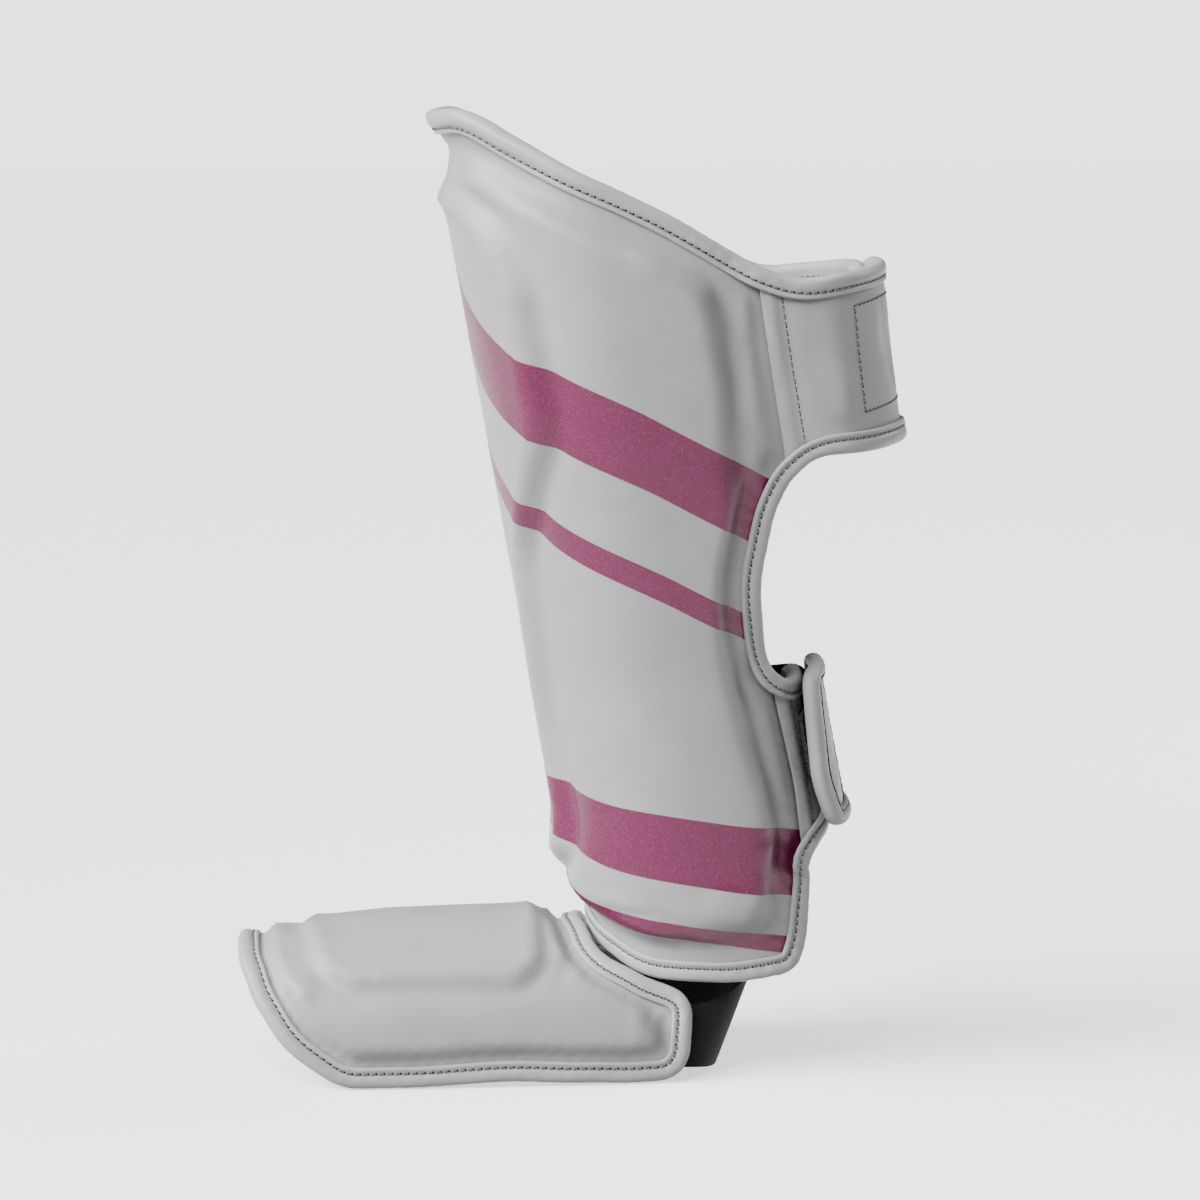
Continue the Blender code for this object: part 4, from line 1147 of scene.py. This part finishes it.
def linear(hex_color):
    """A colour written as on a screen, turned to the values that light adds up in."""
    channels = [int(hex_color[k:k + 2], 16) / 255.0 for k in (1, 3, 5)]
    return tuple(c / 12.92 if c <= 0.04045 else ((c + 0.055) / 1.055) ** 2.4 for c in channels)


def add_node(tree, kind, inputs=(), **settings):
    """Adds a node with its settings, and puts a number, a colour or a link on each named input."""
    made = tree.nodes.new("ShaderNode" + kind)
    for name, value in settings.items():
        setattr(made, name, value)
    for name, value in dict(inputs).items():
        socket = made.inputs[name]
        if isinstance(value, bpy.types.Node):
            value = value.outputs[0]
        if isinstance(value, bpy.types.NodeSocket):
            tree.links.new(value, socket)
        elif isinstance(value, str):
            socket.default_value = (*linear(value), 1.0)
        else:
            socket.default_value = value
    return made


def new_material(name, finish):
    """A material whose shader takes the inputs that its finish works out."""
    made = bpy.data.materials.new(name)
    made.use_nodes = True
    made.node_tree.nodes.clear()
    add = partial(add_node, made.node_tree)
    add("OutputMaterial", {"Surface": add("BsdfPrincipled", finish(add))})
    return made


# Colours of the finishes, in daylight, the lighter and the darker of each. The tape is painted a
# little lighter than the leather as painted light on its fold, and the film's lighter colour is
# painted glint on its glitter flakes.
LEATHER = ("#a6a6a6", "#a1a1a1")
TAPE_LEATHER_PAINTED_LIGHTER = ("#b0b0b0", "#a8a8a8")
FILM_AND_GLINT = ("#902062", "#5c0838")

# Bands of film on the shell, in metres: height at the middle of the front, slope down each side
# and half-width
PRINT_BANDS = (
    # height, slope, half_width
    (0.3310, -0.86, 0.0135),
    (0.2700, -0.86, 0.0050),
    (0.1200, -0.36, 0.0130),
    (0.0850, -0.36, 0.0035),
)
BAND_SOFTNESS = 0.0003       # of the film's edges
RIB_PITCH = 0.0013           # between the cords of the elastic
PICK_PITCH = 0.0009
WEAVE_PITCH = 0.0012         # two threads of the lining
SMOOTH = {"interpolation_type": "SMOOTHSTEP"}


def pressed_leather(add, colours, specular):
    """Smooth synthetic leather, satin and pale, over soft foam. Its fine pressed grain is drawn
    coarser than the real one, 0.7 mm across."""
    places = add("TexCoord").outputs["Object"]
    grain = add("TexVoronoi", {"Vector": places, "Scale": 1500.0}, feature="F1")
    pores = add("TexNoise", {"Vector": places, "Scale": 900.0, "Detail": 3.0, "Roughness": 0.6})
    soft = add("TexNoise", {"Vector": places, "Scale": 55.0, "Detail": 2.0, "Roughness": 0.5})
    shallow = add("Math", {0: pores, 1: 0.6}, operation="MULTIPLY")
    height = add("Math", {0: grain, 1: 0.35, 2: shallow}, operation="MULTIPLY_ADD")
    fine = add("Bump", {"Height": height, "Strength": 0.16, "Distance": 0.0006})
    relief = add("Bump", {"Height": soft, "Strength": 0.07, "Distance": 0.0016, "Normal": fine})
    rough = add("MapRange", {"Value": soft, "From Min": 0.30, "From Max": 0.70, "To Min": 0.43,
                             "To Max": 0.52}, **SMOOTH)
    tint = add("MapRange", {"Value": soft, "From Min": 0.25, "From Max": 0.75}, **SMOOTH)
    light, dark = colours
    color = add("Mix", {0: tint, 6: dark, 7: light}, data_type="RGBA").outputs[2]
    inputs = {"Base Color": color, "Roughness": rough, "Normal": relief, "IOR": 1.48,
              "Specular IOR Level": specular}
    return inputs, places, pores


def white_leather(add):
    """The plain leather of the straps, the tab and the instep guard."""
    return pressed_leather(add, LEATHER, 0.45)[0]


def tape_leather(add):
    """The same leather folded into a tape, a little shinier, and painted a little lighter as painted
    light on its rounded fold.
    """
    return pressed_leather(add, TAPE_LEATHER_PAINTED_LIGHTER, 0.5)[0]


def drawn_places(add):
    """Arc from the middle of the front and height up the leg, in metres, from the flat drawing."""
    split = add("SeparateXYZ", {0: add("UVMap", uv_map="flat")})
    return split.outputs[0], split.outputs[1]


def print_mask(add):
    """Where the coloured film is pressed on the shell: bands that fall away from the front."""
    arc, height = drawn_places(add)
    side = add("Math", {0: arc}, operation="ABSOLUTE")
    total = None
    for at, slope, half_width in PRINT_BANDS:
        line = add("Math", {0: side, 1: -slope, 2: -at}, operation="MULTIPLY_ADD")
        across = add("Math", {0: line, 1: height}, operation="ADD")
        size = add("Math", {0: across}, operation="ABSOLUTE")
        edge = half_width * math.sqrt(1.0 + slope * slope)
        shape = add("MapRange", {"Value": size, "From Min": edge + BAND_SOFTNESS,
                                 "From Max": edge - BAND_SOFTNESS}, **SMOOTH)
        total = shape if total is None else add("Math", {0: total, 1: shape}, operation="MAXIMUM")
    return total


def printed_leather(add):
    """The same leather with bands of pressed magenta film. Its glitter is drawn coarser than the
    real one, with flakes 0.33 mm across, painted lighter than the film as painted glints."""
    inputs, places, pores = pressed_leather(add, LEATHER, 0.5)
    mask = print_mask(add)
    # Flakes of the glitter, painted lighter than the film as painted glints
    flakes = add("TexVoronoi", {"Vector": places, "Scale": 3000.0}, feature="F1")
    bright = add("SeparateColor", {0: flakes.outputs["Color"]})
    painted_glints = add("MapRange", {"Value": bright, "From Min": 0.78, "From Max": 1.0}, **SMOOTH)
    light, dark = FILM_AND_GLINT
    film = add("Mix", {0: painted_glints, 6: dark, 7: light}, data_type="RGBA").outputs[2]
    rough = add("MapRange", {"Value": pores, "From Min": 0.3, "From Max": 0.7, "To Min": 0.34,
                             "To Max": 0.46}, **SMOOTH)
    color = add("Mix", {0: mask, 6: inputs["Base Color"], 7: film}, data_type="RGBA").outputs[2]
    rough = add("Mix", {0: mask, 2: inputs["Roughness"], 3: rough}, data_type="FLOAT")
    return {**inputs, "Base Color": color, "Roughness": rough}


def thread(add):
    """Bonded polyester thread with its plies as a fine twist. The real thread is light grey; it is
    painted dark grey here, as painted shade of the holes and groove that it sits in.
    """
    places = add("TexCoord").outputs["Object"]
    plies = add("TexNoise", {"Vector": places, "Scale": 2600.0})
    # Dark grey painted into the thread's colour as the shade of its holes and groove
    color = add("Mix", {0: plies, 6: "#3a3a3a", 7: "#686868"}, data_type="RGBA").outputs[2]
    relief = add("Bump", {"Height": plies, "Strength": 0.4, "Distance": 0.0002})
    return {"Base Color": color, "Roughness": 0.62, "Normal": relief}


def needle_hole_shade(add):
    """Painted shade: a dark disc that stands for the shadow inside a needle hole."""
    return {"Base Color": "#191918", "Roughness": 0.9, "Specular IOR Level": 0.1}


def woven_elastic(add):
    """Woven elastic, black and matt: rubber cords under the weave make fine ribs 1.3 mm apart."""
    arc, height = drawn_places(add)
    waves = []
    for value, pitch in ((height, RIB_PITCH), (arc, PICK_PITCH)):
        phase = add("Math", {0: value, 1: 2 * math.pi / pitch}, operation="MULTIPLY")
        waves.append(add("Math", {0: phase}, operation="SINE"))
    ribs, picks = waves
    weave = add("Math", {0: ribs, 1: 0.5, 2: 0.5}, operation="MULTIPLY_ADD")
    both = add("Math", {0: picks, 1: 0.25, 2: weave}, operation="MULTIPLY_ADD")
    color = add("Mix", {0: weave, 6: "#050505", 7: "#101010"}, data_type="RGBA").outputs[2]
    relief = add("Bump", {"Height": both, "Strength": 0.5, "Distance": 0.0004})
    return {"Base Color": color, "Roughness": 0.82, "Normal": relief, "Specular IOR Level": 0.2,
            "Sheen Weight": 0.08, "Sheen Roughness": 0.5}


def loop_tape(add):
    """Knitted loop tape: grey nylon fuzz, mottled and matt, with a nap about 1 mm across."""
    places = add("TexCoord").outputs["Object"]
    nap = add("TexNoise", {"Vector": places, "Scale": 900.0, "Detail": 6.0, "Roughness": 0.75})
    tufts = add("TexVoronoi", {"Vector": places, "Scale": 1100.0}, feature="F1")
    height = add("Math", {0: nap, 1: tufts}, operation="ADD")
    shade = add("MapRange", {"Value": nap, "From Min": 0.38, "From Max": 0.66}, **SMOOTH)
    color = add("Mix", {0: shade, 6: "#1c1c1c", 7: "#6d6d6c"}, data_type="RGBA").outputs[2]
    relief = add("Bump", {"Height": height, "Strength": 0.9, "Distance": 0.0010})
    return {"Base Color": color, "Roughness": 0.95, "Normal": relief, "Specular IOR Level": 0.15,
            "Sheen Weight": 0.2, "Sheen Roughness": 0.6}


def lining_cloth(add):
    """Smooth grey lining cloth: a plain weave, drawn coarser than the real one, with threads
    0.6 mm apart."""
    waves = []
    for value in drawn_places(add):
        phase = add("Math", {0: value, 1: 2 * math.pi / WEAVE_PITCH}, operation="MULTIPLY")
        waves.append(add("Math", {0: phase}, operation="SINE"))
    weave = add("Math", {0: waves[0], 1: waves[1]}, operation="MULTIPLY")
    shade = add("MapRange", {"Value": weave, "From Min": -1.0, "From Max": 1.0}, **SMOOTH)
    color = add("Mix", {0: shade, 6: "#767675", 7: "#8f8f8d"}, data_type="RGBA").outputs[2]
    relief = add("Bump", {"Height": weave, "Strength": 0.3, "Distance": 0.0003})
    return {"Base Color": color, "Roughness": 0.78, "Normal": relief, "Specular IOR Level": 0.25}


def studio_paper(add):
    """Matt white studio paper with a little glow of its own."""
    return {"Base Color": "#f4f4f4", "Roughness": 1.0, "Specular IOR Level": 0.0,
            "Emission Color": "#ffffff", "Emission Strength": 1.15}


WHITE_LEATHER = new_material("smooth synthetic leather", white_leather)
PRINTED_LEATHER = new_material("printed synthetic leather", printed_leather)
BINDING = new_material("folded leather tape", tape_leather)
THREAD = new_material("polyester thread", thread)
# Needle holes: dark discs of painted shade
NEEDLE_HOLE_SHADE = new_material("needle hole", needle_hole_shade)
WOVEN_ELASTIC = new_material("woven black elastic", woven_elastic)
LOOP_TAPE = new_material("nylon loop tape", loop_tape)
LINING = new_material("lining cloth", lining_cloth)


def dress(piece, slot_name, *nodes):
    """The piece rides on the guard and stands for CAD nodes, which it hides; its slot name is not
    used.
    """
    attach(piece, "root")
    if nodes:
        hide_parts(*nodes)


def build_guard():
    """Builds every piece, says what it stands for, and sews it."""
    shell = build_shell()
    dress(shell, "white_leather", "shin_shell")
    sewn = {}
    low, high = (smoothed(heights, 4) for heights in edge_heights())
    edge, sewn["edge_stitches"] = bound("bound_edge", LEG, EDGE, low, high, gather_heights())
    dress(edge, "binding_leather", "edge_binding")
    guard, tape, sewn["instep_stitches"] = build_instep()
    dress(guard, "white_leather", "instep_guard")
    dress(tape, "binding_leather", "instep_binding")

    outer = {}
    for name, node, row_name, side, strap, lift, fold_rows, seed in FLAPS:
        flap, outer[name], sewn[row_name] = folded_flap(name, side, strap, lift, fold_rows, seed)
        dress(flap, "white_leather", node)
    sewn["calf_stitches_near"] += box_rows(CALF_HOOK, outer["calf_strap_near"])

    on_flap = plain(FLAP_LIFT + FLAP + PATCH_GAP)
    patches = (
        # piece, CAD node, sides, lower height, mesh spacing, relief
        ("ankle_loop_tape", "ankle_loop_patch", LOOP, on_flap, FUZZ_STEP,
         lambda flat: unevenness(flat, (0.0022, 0.00035, 1.0))),
        ("calf_loop_tape", "calf_loop_patch", CALF_LOOP, on_flap, STEP, plain(0.0)),
        ("calf_hook_tape", "calf_hook_patch", CALF_HOOK,
         lambda flat: lift_near_calf(flat) - LAY - PATCH, STEP, plain(0.0)),
    )
    for name, node, sides, low, step, relief in patches:
        patch = oblong_piece(name, sides, low, PATCH, LOOP_TAPE, step, relief)
        dress(patch, "hook_and_loop", node)
    elastic = oblong_piece("ankle_elastic_band", FAR_ELASTIC, lift_elastic, ELASTIC, WOVEN_ELASTIC)
    dress(elastic, "black_elastic", "ankle_elastic")
    oblong(LEG, SHELL_HEIGHT, FAR_ELASTIC, STEP)
    tab, tab_tape, sewn["tab_stitches"] = build_tab()
    dress(tab, "white_leather", "ankle_tab")
    dress(tab_tape, "binding_leather", "ankle_tab_binding")
    hook = oblong_piece("tab_hook_tape", HOOK, plain(TAB_LIFT - LAY - PATCH), PATCH, LOOP_TAPE)
    dress(hook, "hook_and_loop", "ankle_hook_patch")

    heel = heel_surface()
    outline = oblong(heel, HEEL_STRAP_WIDTH, (-0.99, 0.99, 1.0, 0.0), STEP)
    heel_band = wall("heel_elastic_band", heel, outline, [], plain(-ELASTIC), plain(0.0),
                     [WOVEN_ELASTIC])
    dress(heel_band, "black_elastic", "heel_elastic")
    inside = plain(-(TAPE + SNUG + LAY + HINGE))
    hinge = oblong_piece("ankle_hinge", HINGE_STRIP, inside, HINGE, WHITE_LEATHER)
    dress(hinge, "white_leather", "instep_hinge")

    for name, rows in sewn.items():
        dress(stitches(name, rows, [THREAD, NEEDLE_HOLE_SHADE]), "binding_leather")


build_guard()

# Studio
FLOOR_SIZE = 30.0
LIGHTS_AIM = Vector((0.0, 0.0, 0.2))
AIR_LIGHT = 0.24             # how strongly the white air lights the guard
AIR_SEEN = 2.75              # how bright the same air looks behind it
SUN_SOFTNESS = math.radians(40.0)
STUDIO_LIGHTS = (
    # name, kind, place, size, power
    ("even light", "SUN", (0.55, -1.85, 1.55), SUN_SOFTNESS, 7.5),
    ("key light", "AREA", (0.75, -0.40, 0.84), 0.30, 9.0),
    ("rear light", "AREA", (-0.50, 1.30, 0.90), 0.60, 9.0),
)

# Camera
VIEW_TARGET = Vector((0.0, 0.0125, 0.1935))
VIEW_TURN = math.radians(86.0)   # from the front of the guard towards its near side
VIEW_RISE = math.radians(7.5)
VIEW_DISTANCE = 1.7
SENSOR_WIDTH = 36.0
FRAME_WIDTH = 1200 * 0.000415    # pixels, and metres for each of them at the guard


def studio():
    """A pale floor, an even light, a soft key light, a rear light from the far side, white air."""
    bpy.ops.object.select_all(action="DESELECT")
    bpy.ops.mesh.primitive_plane_add(size=FLOOR_SIZE)
    floor = bpy.context.object
    floor.name = "floor"
    floor.data.materials.append(new_material("studio paper", studio_paper))
    floor.visible_diffuse = False
    world = bpy.data.worlds.new("studio air")
    bpy.context.scene.world = world
    world.use_nodes = True
    tree = world.node_tree
    seen = add_node(tree, "LightPath").outputs["Is Camera Ray"]
    strength = add_node(tree, "MapRange", {"Value": seen, "To Min": AIR_LIGHT,
                                           "To Max": AIR_SEEN}, **SMOOTH)
    air = tree.nodes["Background"]
    air.inputs[0].default_value = (1.0, 1.0, 1.0, 1.0)
    tree.links.new(strength.outputs[0], air.inputs[1])
    for name, kind, at, size, power in STUDIO_LIGHTS:
        light = bpy.data.lights.new(name, kind)
        setattr(light, "angle" if kind == "SUN" else "size", size)
        light.energy = power
        lamp = bpy.data.objects.new(name, light)
        bpy.context.scene.collection.objects.link(lamp)
        lamp.location = at
        lamp.rotation_euler = (LIGHTS_AIM - Vector(at)).to_track_quat("-Z", "Y").to_euler()


def aim_camera():
    """The photograph's view: from the guard's near side, slightly above, with a long lens."""
    back = Vector((math.sin(VIEW_TURN) * math.cos(VIEW_RISE),
                   -math.cos(VIEW_TURN) * math.cos(VIEW_RISE), math.sin(VIEW_RISE)))
    data = bpy.data.cameras.new("camera")
    data.sensor_width = SENSOR_WIDTH
    data.lens = SENSOR_WIDTH * VIEW_DISTANCE / FRAME_WIDTH
    camera = bpy.data.objects.new("camera", data)
    bpy.context.scene.collection.objects.link(camera)
    camera.location = VIEW_TARGET + back * VIEW_DISTANCE
    camera.rotation_euler = (-back).to_track_quat("-Z", "Y").to_euler()
    bpy.context.scene.camera = camera


studio()
aim_camera()
